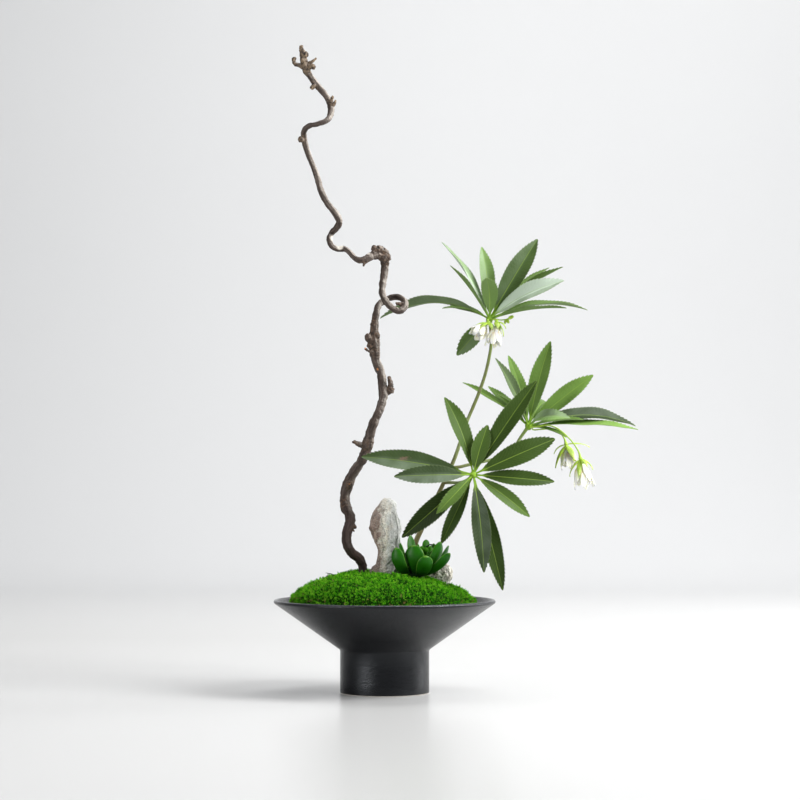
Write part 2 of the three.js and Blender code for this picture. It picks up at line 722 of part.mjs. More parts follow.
// Share of the full width at a share of the length: a petiole, then a lance shape that ends in a point
function lanceWidth(share) {
  if (share <= PETIOLE_SHARE) return 0;
  const v = (share - PETIOLE_SHARE) / (1 - PETIOLE_SHARE);
  const [a, b] = LEAF_WIDEST;
  const peak = a / (a + b);
  return (v ** a * (1 - v) ** b) / (peak ** a * (1 - peak) ** b);
}

// A thin blade from root to tip through stations of share of the length and half width.
// Each face is two rows of triangles beside a midrib, split alike above and below
function blade({ root, tip, axis, turn = 0, arch, fold, thickness, stations }) {
  const along = tip.clone().sub(root);
  const length = along.length();
  along.divideScalar(length);
  const side = along.clone().cross(axis).normalize().applyAxisAngle(along, radians(turn));
  const face = side.clone().cross(along);
  const rings = stations.map(([share, halfWidth]) => {
    const middle = root
      .clone()
      .addScaledVector(along, share * length)
      .addScaledVector(face, 4 * arch * share * (1 - share));
    const half = thickness(share) / 2;
    const edge = (sign) =>
      middle
        .clone()
        .addScaledVector(side, sign * halfWidth * Math.cos(radians(fold)))
        .addScaledVector(face, halfWidth * Math.sin(radians(fold)));
    const above = (p) => p.clone().addScaledVector(face, half);
    const below = (p) => p.clone().addScaledVector(face, -half);
    const [left, right] = [edge(-1), edge(1)];
    return [above(left), above(middle), above(right), below(right), below(middle), below(left)];
  });
  const faces = [];
  const quad = (a, b, c, d, flip) => faces.push(...(flip ? [a, b, c, a, c, d] : [a, b, d, b, c, d]));
  for (let i = 0; i + 1 < rings.length; i++) {
    const [p, q] = [6 * i, 6 * (i + 1)];
    quad(p, p + 1, q + 1, q, true);
    quad(p + 1, p + 2, q + 2, q + 1, false);
    quad(p + 2, p + 3, q + 3, q + 2, true);
    quad(p + 3, p + 4, q + 4, q + 3, true);
    quad(p + 4, p + 5, q + 5, q + 4, false);
    quad(p + 5, p, q, q + 5, true);
  }
  const last = 6 * (rings.length - 1);
  faces.push(0, 5, 1, 5, 4, 1, 4, 3, 1, 3, 2, 1);
  faces.push(last, last + 1, last + 5, last + 5, last + 1, last + 4);
  faces.push(last + 4, last + 1, last + 3, last + 3, last + 1, last + 2);
  return solidOf(new THREE.BufferGeometry().setFromPoints(rings.flat()).setIndex(faces));
}

function leaflet(hub, axis, [x, y, z, width, arch, turn]) {
  const root = vector(hub);
  const tip = root.clone().add(vector([x, y, z]));
  const length = tip.distanceTo(root);
  const teeth = Math.max(4, Math.round(((1 - PETIOLE_SHARE) * length) / TOOTH_LENGTH));
  const stations = [
    [BLADE_START, PETIOLE_HALF_WIDTH],
    [PETIOLE_SHARE, PETIOLE_HALF_WIDTH],
  ];
  for (let i = 1; i <= teeth; i++) {
    const share = PETIOLE_SHARE + ((1 - PETIOLE_SHARE) * i) / (teeth + 0.4);
    const halfWidth = Math.max(PETIOLE_HALF_WIDTH, (width / 2) * lanceWidth(share));
    stations.push([share, halfWidth]);
    if (i < teeth) stations.push([share + TOOTH_STEP, halfWidth * (1 - TOOTH_DEPTH)]);
  }
  stations.push([1, LEAF_TIP]);
  const thickness = (share) => (share <= PETIOLE_SHARE ? PETIOLE_THICKNESS : BLADE);
  return blade({ root, tip, axis: vector(axis), turn, arch, fold: LEAF_FOLD, thickness, stations });
}

function whorl({ hub, axis, leaflets }) {
  const heart = solidOf(new THREE.SphereGeometry(HUB_RADIUS, 12, 8).translate(...hub));
  return geometryOf(wasm.Manifold.union([heart, ...leaflets.map((each) => leaflet(hub, axis, each))]));
}

// The stalk and calyx of a blossom, with its pointed sepals
function calyx({ hub, stalk, sepals }) {
  const start = vector(hub);
  start.addScaledVector(vector(stalk[0]).sub(start).normalize(), HUB_RADIUS + GAP);
  const stops = [start.toArray(), ...stalk].map((place) => [...place, STALK_RADIUS]);
  const heart = vector(stalk[stalk.length - 1]);
  const cup = solidOf(new THREE.IcosahedronGeometry(CALYX_RADIUS, 0).translate(...heart.toArray()));
  const thickness = () => PETAL_THICKNESS;
  const blades = sepals.map(([x, y, z, width]) => {
    const tip = heart.clone().add(new THREE.Vector3(x, y, z));
    const stations = Array.from({ length: SEPAL_STATIONS + 1 }, (_, i) => {
      const share = BLADE_START + ((1 - BLADE_START) * i) / SEPAL_STATIONS;
      return [share, SEPAL_TIP + (width / 2) * Math.sin(Math.PI * share ** 0.8)];
    });
    const inward = new THREE.Vector3(-x, -y, -6).normalize();
    return blade({ root: heart, tip, axis: inward, arch: -PETAL_BOW, fold: SEPAL_FOLD, thickness, stations });
  });
  return geometryOf(wasm.Manifold.union([rod(stops, 5, 1), cup, ...blades]));
}

// The white petals, hanging in a loose bell from a short heart under the calyx
function petals({ stalk, hang, petalLength, petalSpread }) {
  const down = vector(hang).normalize();
  const root = vector(stalk[stalk.length - 1]).addScaledVector(down, CALYX_RADIUS + GAP + PETAL_DROP);
  const across = new THREE.Vector3(1, 0, 0).cross(down).normalize();
  const beside = down.clone().cross(across);
  const heart = solidOf(new THREE.IcosahedronGeometry(HEART_RADIUS, 0).translate(...root.toArray()));
  const thickness = () => PETAL_THICKNESS;
  const blades = Array.from({ length: PETAL_COUNT }, (_, k) => {
    const angle = (2 * Math.PI * (k + 0.25)) / PETAL_COUNT;
    const out = across.clone().multiplyScalar(Math.cos(angle)).addScaledVector(beside, Math.sin(angle));
    const reach = petalLength * (k % 2 ? SHORT_PETAL : 1);
    const tip = root.clone().addScaledVector(down, reach).addScaledVector(out, petalSpread);
    const stations = Array.from({ length: PETAL_STATIONS + 1 }, (_, i) => {
      const share = BLADE_START + ((1 - BLADE_START) * i) / PETAL_STATIONS;
      return [share, PETAL_TIP + (PETAL_WIDTH / 2) * Math.sin(Math.PI * share ** 1.2) ** 0.8];
    });
    const inward = out.clone().negate();
    return blade({ root, tip, axis: inward, arch: -PETAL_BOW, fold: PETAL_FOLD, thickness, stations });
  });
  return geometryOf(wasm.Manifold.union([heart, ...blades]));
}

const arrangement = new THREE.Group();
arrangement.add(
  pieceOf("bowl", bowl(), CERAMIC),
  pieceOf("foam", foam(), FOAM),
  pieceOf("moss", mossMound(), MOSS),
  pieceOf("branch", branch(), BARK),
  pieceOf("standing_stone", standingStone(0), GREY_STONE),
  pieceOf("small_stone", pebble(0), PALE_STONE),
  pieceOf("succulent", succulent(), SUCCULENT_GREEN),
  pieceOf("hellebore_stem", helleboreStem(), STEM_GREEN),
);
for (const [name, parts] of Object.entries(WHORLS)) arrangement.add(pieceOf(name, whorl(parts), LEAF_GREEN));
for (const [name, parts] of Object.entries(BLOSSOMS)) {
  arrangement.add(pieceOf(`calyx_${name}`, calyx(parts), CALYX_GREEN));
  arrangement.add(pieceOf(`petals_${name}`, petals(parts), PETAL_WHITE));
}

export default arrangement;
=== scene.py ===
# %% [markdown]
# # An ikebana arrangement
# A black footed bowl holds a moss mound with a corkscrew branch, two stones, a succulent and a stem of
# hellebore. The packed model gives every piece its place and size. This script keeps those places and
# dresses the pieces: it sweeps, turns, sculpts and scatters finer meshes over them, and gives each one
# a finish. The packed model is loaded first, because the other steps take places and solids from it.

# %% Load the frame
import math
import random

import bmesh
import bpy
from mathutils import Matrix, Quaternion, Vector, kdtree, noise


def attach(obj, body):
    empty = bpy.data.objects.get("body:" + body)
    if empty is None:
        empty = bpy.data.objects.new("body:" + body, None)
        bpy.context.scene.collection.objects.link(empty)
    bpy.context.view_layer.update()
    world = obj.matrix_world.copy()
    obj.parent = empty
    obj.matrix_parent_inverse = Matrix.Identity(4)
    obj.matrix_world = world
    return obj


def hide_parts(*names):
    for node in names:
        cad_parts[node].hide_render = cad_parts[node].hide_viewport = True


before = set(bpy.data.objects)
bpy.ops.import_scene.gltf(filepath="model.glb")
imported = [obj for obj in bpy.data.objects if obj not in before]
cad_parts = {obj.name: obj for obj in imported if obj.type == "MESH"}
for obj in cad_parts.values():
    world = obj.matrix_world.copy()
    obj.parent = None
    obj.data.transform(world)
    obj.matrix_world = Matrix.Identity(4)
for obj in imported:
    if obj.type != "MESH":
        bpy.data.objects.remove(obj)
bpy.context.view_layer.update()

# %% [markdown]
# Sizes below are in millimetres, as a maker would write them, and the mesh helper turns them into
# metres. A mesh could also be made with modelling operators, but plain lists of points and faces say
# exactly what is built and don't depend on what is selected.

# %% Helpers for meshes
MM = 0.001
# Without a seed, Blender's vector noise takes the clock's time and comes out differently each run
NOISE_SEED = 7
noise.seed_set(NOISE_SEED)


def link(thing):
    bpy.context.scene.collection.objects.link(thing)
    return thing


def turn_outwards(mesh):
    """Makes every closed shell of a mesh face outwards."""
    work = bmesh.new()
    work.from_mesh(mesh)
    bmesh.ops.recalc_face_normals(work, faces=work.faces)
    work.to_mesh(mesh)
    work.free()


def keep_values(mesh, name, values):
    """Keeps a number on every point of a mesh, under a name that the finishes read."""
    mesh.attributes.new(name, "FLOAT", "POINT").data.foreach_set("value", values)


def keep_vectors(mesh, name, vectors):
    """Keeps a vector on every point of a mesh, under a name that the finishes read."""
    numbers = [number for vector in vectors for number in vector]
    mesh.attributes.new(name, "FLOAT_VECTOR", "POINT").data.foreach_set("vector", numbers)


print("metres in a millimetre:", MM)

# %% [markdown]
# The camera stands two and a half metres off, a little above the moss, and looks up slightly. A long
# lens from far away keeps the bowl's rim almost a line, which is what the photograph shows. The lens
# could be shifted instead, but a small tilt is what a photographer's tripod does.

# %% Camera
CAMERA_AT = Vector((0.018, -2.494, 0.242))
CAMERA_LENS = 95.4
CAMERA_TILT = 2.323

camera_data = bpy.data.cameras.new("camera")
camera_data.lens = CAMERA_LENS
camera = link(bpy.data.objects.new("camera", camera_data))
camera.location = CAMERA_AT
camera.rotation_euler = (math.radians(90 + CAMERA_TILT), 0, 0)
bpy.context.scene.camera = camera
print("camera at", tuple(CAMERA_AT), "tilted up by", CAMERA_TILT)

# %% [markdown]
# A studio sweep is a floor that curves up into a wall, so no edge shows behind the object. It could be
# a plane and a wall, but their corner would draw a line across the picture. The floor is pale and a
# little glossy, so the foot of the bowl is mirrored softly.

# %% Helpers for node trees
def add(tree, kind, inputs=None, **settings):
    """A node with its settings and inputs. An input is a value or another node's output."""
    made = tree.nodes.new(kind)
    for name, value in settings.items():
        setattr(made, name, value)
    for name, value in (inputs or {}).items():
        socket = made.inputs[name]
        if isinstance(value, bpy.types.NodeSocket):
            tree.links.new(value, socket)
        else:
            socket.default_value = value
    return made


def maths(tree, operation, *values):
    """The result of a Math node."""
    return add(tree, "ShaderNodeMath", dict(enumerate(values)), operation=operation).outputs[0]


def product(tree, first, second):
    return maths(tree, "MULTIPLY", first, second)


def blend(tree, share, first, second):
    """A colour between two others."""
    names = {0: share, 6: first, 7: second}
    return add(tree, "ShaderNodeMix", names, data_type="RGBA", clamp_factor=True).outputs[2]


def remap(tree, value, low, high, to_low=0.0, to_high=1.0):
    """A value carried from one range to another, and kept inside it."""
    names = {"Value": value, "From Min": low, "From Max": high, "To Min": to_low, "To Max": to_high}
    return add(tree, "ShaderNodeMapRange", names).outputs[0]


def cloud(tree, place, scale, detail=3.0, rough=0.55):
    """Noise at a place, from 0 to 1."""
    names = {"Vector": place, "Scale": scale, "Detail": detail, "Roughness": rough}
    return add(tree, "ShaderNodeTexNoise", names).outputs[0]


def colour(red, green, blue):
    return (red, green, blue, 1.0)


def bumped(tree, height, depth, strength):
    """A normal that follows a height over the surface."""
    names = {"Strength": strength, "Distance": depth, "Height": height}
    return add(tree, "ShaderNodeBump", names).outputs[0]


def object_place(tree):
    return add(tree, "ShaderNodeTexCoord").outputs["Object"]


def marked(tree, name, output="Fac"):
    """What was kept on the points of the mesh under a name."""
    return add(tree, "ShaderNodeAttribute", attribute_name=name).outputs[output]


def axes(tree, vector):
    """The x, y and z of a vector."""
    return add(tree, "ShaderNodeSeparateXYZ", {0: vector}).outputs


def stretched(tree, place, *scale):
    """A place scaled along each axis, so that a pattern on it is drawn out."""
    return add(tree, "ShaderNodeMapping", {0: place, "Scale": scale}).outputs[0]


print("kinds of helper node so far: values, colours, noise, normals and places")


# %% Helpers for finishes
def material_with(name, build):
    """A material whose Principled BSDF is set by build(tree, surface)."""
    material = bpy.data.materials.new(name)
    material.use_nodes = True
    tree = material.node_tree
    build(tree, tree.nodes["Principled BSDF"])
    print("finish:", name, "with", len(tree.nodes), "nodes")
    return material


def coated(piece, material):
    """The piece with one new finish in place of the old ones."""
    piece.data.materials.clear()
    piece.data.materials.append(material)
    return piece


def wire(tree, surface, **sources):
    """Links sockets of the surface. Base_Color stands for Base Color."""
    for name, source in sources.items():
        tree.links.new(source, surface.inputs[name.replace("_", " ")])


def steady(surface, **values):
    """Sets what is the same all over on the surface's own sockets."""
    for name, value in values.items():
        surface.inputs[name.replace("_", " ")].default_value = value


print("finishes so far:", len(bpy.data.materials))

# %% Floor sweep
SWEEP_HALF_WIDTH = 9.0
SWEEP_FRONT = -6.0
SWEEP_BACK = 2.4
SWEEP_RADIUS = 1.4
SWEEP_TOP = 6.0
SWEEP_STEPS = 24


def floor_paint(tree, surface):
    depth = axes(tree, object_place(tree))[1]
    paint = blend(tree, remap(tree, depth, 0.9, 2.8), colour(0.60, 0.60, 0.595), colour(0.80, 0.805, 0.81))
    wire(tree, surface, Base_Color=paint, Roughness=remap(tree, depth, 0.3, 1.2, 0.28, 1.0))
    steady(surface, Specular_IOR_Level=0.5)


def sweep():
    """A floor that curves up into a wall behind the object."""
    line = [(SWEEP_FRONT, 0.0), (-1.0, 0.0), (SWEEP_BACK, 0.0)]
    for step in range(1, SWEEP_STEPS + 1):
        angle = math.pi / 2 * step / SWEEP_STEPS
        line.append((SWEEP_BACK + SWEEP_RADIUS * math.sin(angle), SWEEP_RADIUS * (1 - math.cos(angle))))
    line.append((SWEEP_BACK + SWEEP_RADIUS, SWEEP_TOP))
    points = [(x, y, z) for y, z in line for x in (-SWEEP_HALF_WIDTH, SWEEP_HALF_WIDTH)]
    faces = [(2 * i, 2 * i + 1, 2 * i + 3, 2 * i + 2) for i in range(len(line) - 1)]
    mesh = bpy.data.meshes.new("floor")
    mesh.from_pydata(points, [], faces)
    mesh.materials.append(material_with("floor_paint", floor_paint))
    mesh.shade_smooth()
    return link(bpy.data.objects.new("floor", mesh))


floor = sweep()
print("floor faces:", len(floor.data.polygons))

# %% [markdown]
# Large soft lights stand in for a bright room. The biggest is high on the right, so the stones and
# leaves have a lit and a shaded side, and a low one behind it lights the bowl's right edge. A tall
# strip on the left draws the upright gleam on the foot, and one overhead picks out the moss. A wash
# keeps the sweep behind them pale.

# %% Lights
LIGHTS = {
    "window": {"at": (1.8, -0.7, 1.65), "aim": (0.0, 0.0, 0.3), "size": (1.2, 1.4), "power": 98},
    "rim": {"at": (2.0, 0.75, 0.7), "aim": (0.0, 0.0, 0.15), "size": (0.5, 1.3), "power": 20},
    "strip": {"at": (-1.8, -1.45, 0.7), "aim": (0.0, 0.0, 0.1), "size": (0.45, 1.4), "power": 26},
    "sky": {"at": (0.1, 0.4, 2.9), "aim": (0.05, 0.0, 0.2), "size": (1.6, 1.6), "power": 26},
    "wash": {"at": (1.0, 1.0, 3.2), "aim": (0.5, 3.8, 1.4), "size": (2.0, 1.5), "power": 67},
}
WORLD_GLOW = (0.93, 0.96, 1.0, 1.0)
WORLD_POWER = 0.075


def softbox(name, at, aim, size, power):
    """A rectangular lamp that faces its aim."""
    data = bpy.data.lights.new(name, "AREA")
    data.shape = "RECTANGLE"
    data.size, data.size_y = size
    data.energy = power
    light = link(bpy.data.objects.new(name, data))
    light.location = at
    light.rotation_euler = (Vector(aim) - Vector(at)).to_track_quat("-Z", "Y").to_euler()
    return light


for light_name, facts in LIGHTS.items():
    softbox(light_name, **facts)
world = bpy.data.worlds.new("studio")
world.use_nodes = True
world.node_tree.nodes["Background"].inputs["Color"].default_value = WORLD_GLOW
world.node_tree.nodes["Background"].inputs["Strength"].default_value = WORLD_POWER
bpy.context.scene.world = world
bpy.context.scene.view_settings.view_transform = "Standard"
print("lights:", sorted(LIGHTS))

# %% [markdown]
# Three effects turn up on several finishes: slow patches of tone, fine speckles and a rough relief.
# Each is made once as a node group with its own inputs, and every material places it with its own scale
# and strength. Copying the nodes into each material would work too, but a group keeps them alike and
# easy to change.

# %% Node groups
def node_group(name, kind, inputs, outputs):
    """A group with named sockets, what it is given and what it puts out. inputs are name, type, value."""
    group = bpy.data.node_groups.new(name, kind)
    for socket_name, socket_type, value in inputs:
        socket = group.interface.new_socket(socket_name, in_out="INPUT", socket_type=socket_type)
        if value is not None:
            socket.default_value = value
    for socket_name, socket_type in outputs:
        group.interface.new_socket(socket_name, in_out="OUTPUT", socket_type=socket_type)
    return group, group.nodes.new("NodeGroupInput").outputs, group.nodes.new("NodeGroupOutput").inputs


VECTOR, FLOAT = "NodeSocketVector", "NodeSocketFloat"
print("kinds of socket:", VECTOR, FLOAT)


# %% Shared shader groups
def shader_group(name, output, kind, **sizes):
    """A shared effect, given a place and its sizes. It puts out one mask or normal."""
    inputs = [("Place", VECTOR, None)] + [(size, FLOAT, value) for size, value in sizes.items()]
    return node_group(name, "ShaderNodeTree", inputs, [(output, kind)])


def make_patches():
    """Slow patches of tone, as a mask."""
    group, given, told = shader_group("patches", "Mask", FLOAT, Scale=20.0, Sharpness=0.5)
    wide = cloud(group, given["Place"], given["Scale"], 4.0)
    reach = product(group, maths(group, "SUBTRACT", 1.0, given["Sharpness"]), 0.4)
    low = maths(group, "SUBTRACT", 0.5, reach)
    high = maths(group, "ADD", 0.5, reach)
    group.links.new(remap(group, wide, low, high), told["Mask"])
    return group


def make_speckles():
    """Fine speckles, as a mask. Share sets how much they cover."""
    group, given, told = shader_group("speckles", "Mask", FLOAT, Scale=900.0, Share=0.3)
    grains = cloud(group, given["Place"], given["Scale"], 2.0, 0.7)
    low = maths(group, "SUBTRACT", 0.74, product(group, given["Share"], 0.5))
    group.links.new(remap(group, grains, low, maths(group, "ADD", low, 0.07)), told["Mask"])
    return group


def make_relief():
    """A rough relief, as a normal."""
    group, given, told = shader_group("relief", "Normal", VECTOR, Scale=300.0, Depth=0.0003, Strength=0.5)
    height = cloud(group, given["Place"], given["Scale"], 5.0, 0.6)
    group.links.new(bumped(group, height, given["Depth"], given["Strength"]), told["Normal"])
    return group


PATCHES, SPECKLES, RELIEF = make_patches(), make_speckles(), make_relief()


def placed(tree, group, **values):
    """A shared group placed in a material, with its inputs set or linked."""
    return add(tree, "ShaderNodeGroup", values, node_tree=group).outputs[0]


def roughen(tree, surface, place, scale, depth, strength):
    """Gives a surface the shared relief."""
    relief = placed(tree, RELIEF, Place=place, Scale=scale, Depth=depth, Strength=strength)
    wire(tree, surface, Normal=relief)


print("shared groups:", [group.name for group in (PATCHES, SPECKLES, RELIEF)])

# %% [markdown]
# The bowl was thrown or pressed as a shape of turning, and a dull black slip leaves a fine pebbled skin
# that scatters the light. Here a profile line is turned by Geometry Nodes: the line becomes a curve
# that is swept round a tiny circle, and the joins are merged. The foot's lowest edge stays bare, pale
# clay.

# %% Bowl profile
RIM_RADIUS = 130.0
RIM_HEIGHT = 109.0
FOOT_RADIUS = 52.2
NECK_HEIGHT = 50.5
WALL = 4.6
FLOOR_THICKNESS = 6.0
FOOT_BEVEL = 1.4
NECK_ROUND = 1.2
LIP_STEPS = 10


def bowl_profile():
    """Radius and height along the bowl's outline, from the middle of its foot round to its inner floor."""
    lip = Vector((RIM_RADIUS - WALL / 2, RIM_HEIGHT - WALL / 2))
    neck = Vector((FOOT_RADIUS, NECK_HEIGHT))
    to_lip = lip - neck
    lean = math.atan2(to_lip.y, to_lip.x) - math.asin(WALL / 2 / to_lip.length)
    inner_radius = FOOT_RADIUS - WALL
    wall_start = neck + Vector((-math.sin(lean), math.cos(lean))) * WALL
    inner_neck = wall_start.y + (inner_radius - wall_start.x) * math.tan(lean)
    line = [(0, 0), (FOOT_RADIUS - 7, 0), (FOOT_RADIUS - FOOT_BEVEL, 0)]
    line += [(FOOT_RADIUS - 0.4, 0.4), (FOOT_RADIUS, FOOT_BEVEL), (FOOT_RADIUS, 12), (FOOT_RADIUS, 30)]
    line += [(FOOT_RADIUS, NECK_HEIGHT - NECK_ROUND)]
    line += [(neck.x + NECK_ROUND * math.cos(lean), neck.y + NECK_ROUND * math.sin(lean))]
    for share in (0.25, 0.5, 0.75):
        edge = lip + Vector((math.sin(lean), -math.cos(lean))) * (WALL / 2)
        line.append(tuple(neck.lerp(edge, share)))
    for step in range(LIP_STEPS + 1):
        angle = lean - math.pi / 2 + math.pi * step / LIP_STEPS
        line.append((lip.x + WALL / 2 * math.cos(angle), lip.y + WALL / 2 * math.sin(angle)))
    return line + [(inner_radius, inner_neck), (inner_radius, FLOOR_THICKNESS), (0, FLOOR_THICKNESS)]


BOWL_PROFILE = bowl_profile()
print("profile points:", len(BOWL_PROFILE))


# %% Geometry Nodes helpers
GEOMETRY, INTEGER, MATERIAL = "NodeSocketGeometry", "NodeSocketInt", "NodeSocketMaterial"


def geometry_group(name, *inputs):
    """A modifier's tree, given a geometry, a material and the inputs. It puts out one geometry."""
    first = [("Geometry", GEOMETRY, None), ("Material", MATERIAL, None)]
    return node_group(name, "GeometryNodeTree", first + list(inputs), [("Geometry", GEOMETRY)])


def close_tree(group, geometry, given, told):
    """Ends a tree in Realize Instances and Set Material."""
    real = add(group, "GeometryNodeRealizeInstances", {"Geometry": geometry}).outputs[0]
    names = {"Geometry": real, "Material": given["Material"]}
    group.links.new(add(group, "GeometryNodeSetMaterial", names).outputs[0], told[0])


def evaluated_mesh(thing, name):
    """A plain mesh of an object with its modifiers worked out."""
    bpy.context.view_layer.update()
    depsgraph = bpy.context.evaluated_depsgraph_get()
    mesh = bpy.data.meshes.new_from_object(thing.evaluated_get(depsgraph), depsgraph=depsgraph)
    mesh.name = name
    return mesh


def grown(name, source, group, values):
    """The plain mesh that a node tree makes of a source object, which is then removed."""
    modifier = source.modifiers.new("grow", "NODES")
    modifier.node_group = group
    identifiers = {
        item.name: item.identifier
        for item in group.interface.items_tree
        if item.item_type == "SOCKET" and item.in_out == "INPUT"
    }
    for value_name, value in values.items():
        modifier[identifiers[value_name]] = value
    mesh = evaluated_mesh(source, name)
    bpy.data.objects.remove(source)
    return link(bpy.data.objects.new(name, mesh))


print("a tree ends in Realize Instances and Set Material")

# %% Bowl finish
def black_slip(tree, surface):
    place = object_place(tree)
    height = axes(tree, place)[2]
    bare = remap(tree, height, 0.0008, 0.0012, 1.0, 0.0)
    pebbled = placed(tree, SPECKLES, Place=place, Scale=950.0, Share=0.42)
    # Painted highlight: the lip is lighter in colour, standing for the highlight on the rounded rim, and it
    # is also a little glossier
    lip = remap(tree, height, 0.1066, 0.1084)
    rings = cloud(tree, stretched(tree, place, 0.02, 0.02, 1), 260.0)
    dark = blend(tree, rings, colour(0.0008, 0.0009, 0.0012), colour(0.0026, 0.0028, 0.0038))
    dusted = blend(tree, product(tree, pebbled, 0.1), dark, colour(0.034, 0.037, 0.048))
    highlit_and_spotted = blend(tree, product(tree, lip, 0.8), dusted, colour(0.055, 0.057, 0.062))
    wire(tree, surface, Base_Color=blend(tree, bare, highlit_and_spotted, colour(0.62, 0.58, 0.53)))
    matt = remap(tree, pebbled, 0.0, 1.0, 0.27, 0.15)
    wire(tree, surface, Roughness=maths(tree, "SUBTRACT", matt, product(tree, lip, 0.12)))
    wire(tree, surface, Normal=bumped(tree, cloud(tree, place, 720.0, 1.5), 0.0005, 1.0))
    steady(surface, Specular_IOR_Level=0.35, Specular_Tint=(0.9, 0.95, 1.0, 1.0))


BLACK_SLIP = material_with("black_slip", black_slip)


# %% Dressing
def dressed(piece, slot, *nodes):
    """A finished piece rides on the model's one body and stands for its nodes. The slot is not used."""
    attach(piece, "root")
    if nodes:
        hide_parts(*nodes)
    triangles = sum(len(face.vertices) - 2 for face in piece.data.polygons)
    print(f"{piece.name}: {triangles} triangles")
    return piece


print("nodes to dress:", sorted(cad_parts))

# %% Bowl
BOWL_SIDES = 192
POLE_RADIUS = 1e-5


def turning_tree():
    """Turns a profile line once round the upright axis."""
    group, given, told = geometry_group("turning", ("Sides", INTEGER, BOWL_SIDES))
    line = add(group, "GeometryNodeMeshToCurve", {"Mesh": given["Geometry"]}).outputs[0]
    circle = {"Resolution": given["Sides"], "Radius": POLE_RADIUS}
    pole = add(group, "GeometryNodeCurvePrimitiveCircle", circle).outputs[0]
    turned = add(group, "GeometryNodeCurveToMesh", {"Curve": pole, "Profile Curve": line}).outputs[0]
    merged = add(group, "GeometryNodeMergeByDistance", {"Geometry": turned, "Distance": 3 * POLE_RADIUS})
    close_tree(group, merged.outputs[0], given, told)
    return group


def profile_line(profile):
    """The profile as a chain of edges. The sweep turns its y axis into the model's downward one."""
    points = [Vector((radius, -height, 0)) * MM for radius, height in profile]
    mesh = bpy.data.meshes.new("profile")
    mesh.from_pydata(points, [(i, i + 1) for i in range(len(points) - 1)], [])
    return link(bpy.data.objects.new("profile", mesh))


bowl_facts = {"Sides": BOWL_SIDES, "Material": BLACK_SLIP}
bowl = grown("turned_bowl", profile_line(BOWL_PROFILE), turning_tree(), bowl_facts)
turn_outwards(bowl.data)
bowl.data.shade_smooth()
bowl.data.set_sharp_from_angle(angle=math.radians(38))
dressed(bowl, "ceramic", "bowl")

# %% [markdown]
# The foam inside the bowl is hidden by the moss, but it is there and holds every stem. Its packed solid
# has the right shape, so it only gets the finish of wet floral foam: a dull green with tiny pores.

# %% Foam finish
def floral_foam(tree, surface):
    place = object_place(tree)
    pores = placed(tree, SPECKLES, Place=place, Scale=1800.0, Share=0.5)
    wire(tree, surface, Base_Color=blend(tree, pores, colour(0.05, 0.14, 0.06), colour(0.02, 0.06, 0.03)))
    roughen(tree, surface, place, 900.0, 0.0004, 0.8)
    steady(surface, Roughness=0.95)


coated(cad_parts["foam"], material_with("floral_foam", floral_foam))
print("foam keeps its packed solid")

# %% [markdown]
# The moss is laid in pads over the foam. Each pad is a crowd of tiny upright shoots, bright at the tips
# and dark where they meet. A bumpy material on a smooth mound would look like paint from close by, and
# hair would be lost in the export. So the packed mound is remeshed as a dark bed, and Geometry Nodes
# scatter shoots over it.

# %% Helpers for sculpting
def copied(node, name):
    """A copy of a packed solid with its loose corners merged, ready to be sculpted."""
    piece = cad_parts[node].copy()
    piece.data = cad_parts[node].data.copy()
    for key in list(piece.keys()):
        del piece[key]
    piece.parent = None
    piece.name = piece.data.name = name
    link(piece)
    work = bmesh.new()
    work.from_mesh(piece.data)
    bmesh.ops.remove_doubles(work, verts=work.verts, dist=0.01 * MM)
    work.to_mesh(piece.data)
    work.free()
    return piece


def with_modifiers(piece):
    """The piece with its modifiers made part of its mesh."""
    mesh = evaluated_mesh(piece, piece.name)
    piece.modifiers.clear()
    piece.data = mesh
    return piece


def remeshed(piece, voxel, smoothing=0):
    """One closed skin of even faces over everything in the piece."""
    remesh = piece.modifiers.new("even", "REMESH")
    remesh.mode = "VOXEL"
    remesh.voxel_size = voxel * MM
    remesh.use_smooth_shade = True
    if smoothing:
        smooth = piece.modifiers.new("soft", "SMOOTH")
        smooth.factor, smooth.iterations = 0.5, smoothing
    return with_modifiers(piece)


def pushed(piece, push):
    """Moves each point along its normal by push(point, normal), all in millimetres."""
    normals = [vertex.normal.copy() for vertex in piece.data.vertices]
    for vertex, normal in zip(piece.data.vertices, normals):
        vertex.co += normal * (push(vertex.co / MM, normal) * MM)
    piece.data.update()
    return piece


def ease(value, low, high):
    """0 below low and 1 above high, with a soft bend between."""
    share = min(1.0, max(0.0, (value - low) / (high - low)))
    return share * share * (3 - 2 * share)


for name in ("moss", "standing_stone", "small_stone"):
    print("faces before sculpting:", name, len(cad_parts[name].data.polygons))

# %% Moss bed
MOSS_VOXEL = 1.7
MOSS_SWELL = 3.8
MOSS_SWELL_SIZE = 20.0
CUSHION_SIZE = 9.0
CUSHION_HEIGHT = 3.3
WANDER, WANDER_SIZE = 3.5, 8.0
MOSS_SINK = 3.2
SHOULDER_START, SHOULDER_END = 55.0, 100.0
SHOULDER_DROP = 3.5


def moss_push(point, normal):
    """Swellings and small cushions with creases between them, sunk below the tips of the shoots."""
    if normal.z < 0:
        return 0.0
    warped = point + WANDER * noise.noise_vector(point / WANDER_SIZE)
    near = noise.voronoi(warped / CUSHION_SIZE)[0][0]
    cushion = CUSHION_HEIGHT * (1 - min(1.0, near) ** 2)
    shoulder = SHOULDER_DROP * ease(abs(point.x), SHOULDER_START, SHOULDER_END)
    return normal.z * (MOSS_SWELL * noise.noise(point / MOSS_SWELL_SIZE) + cushion - MOSS_SINK - shoulder)


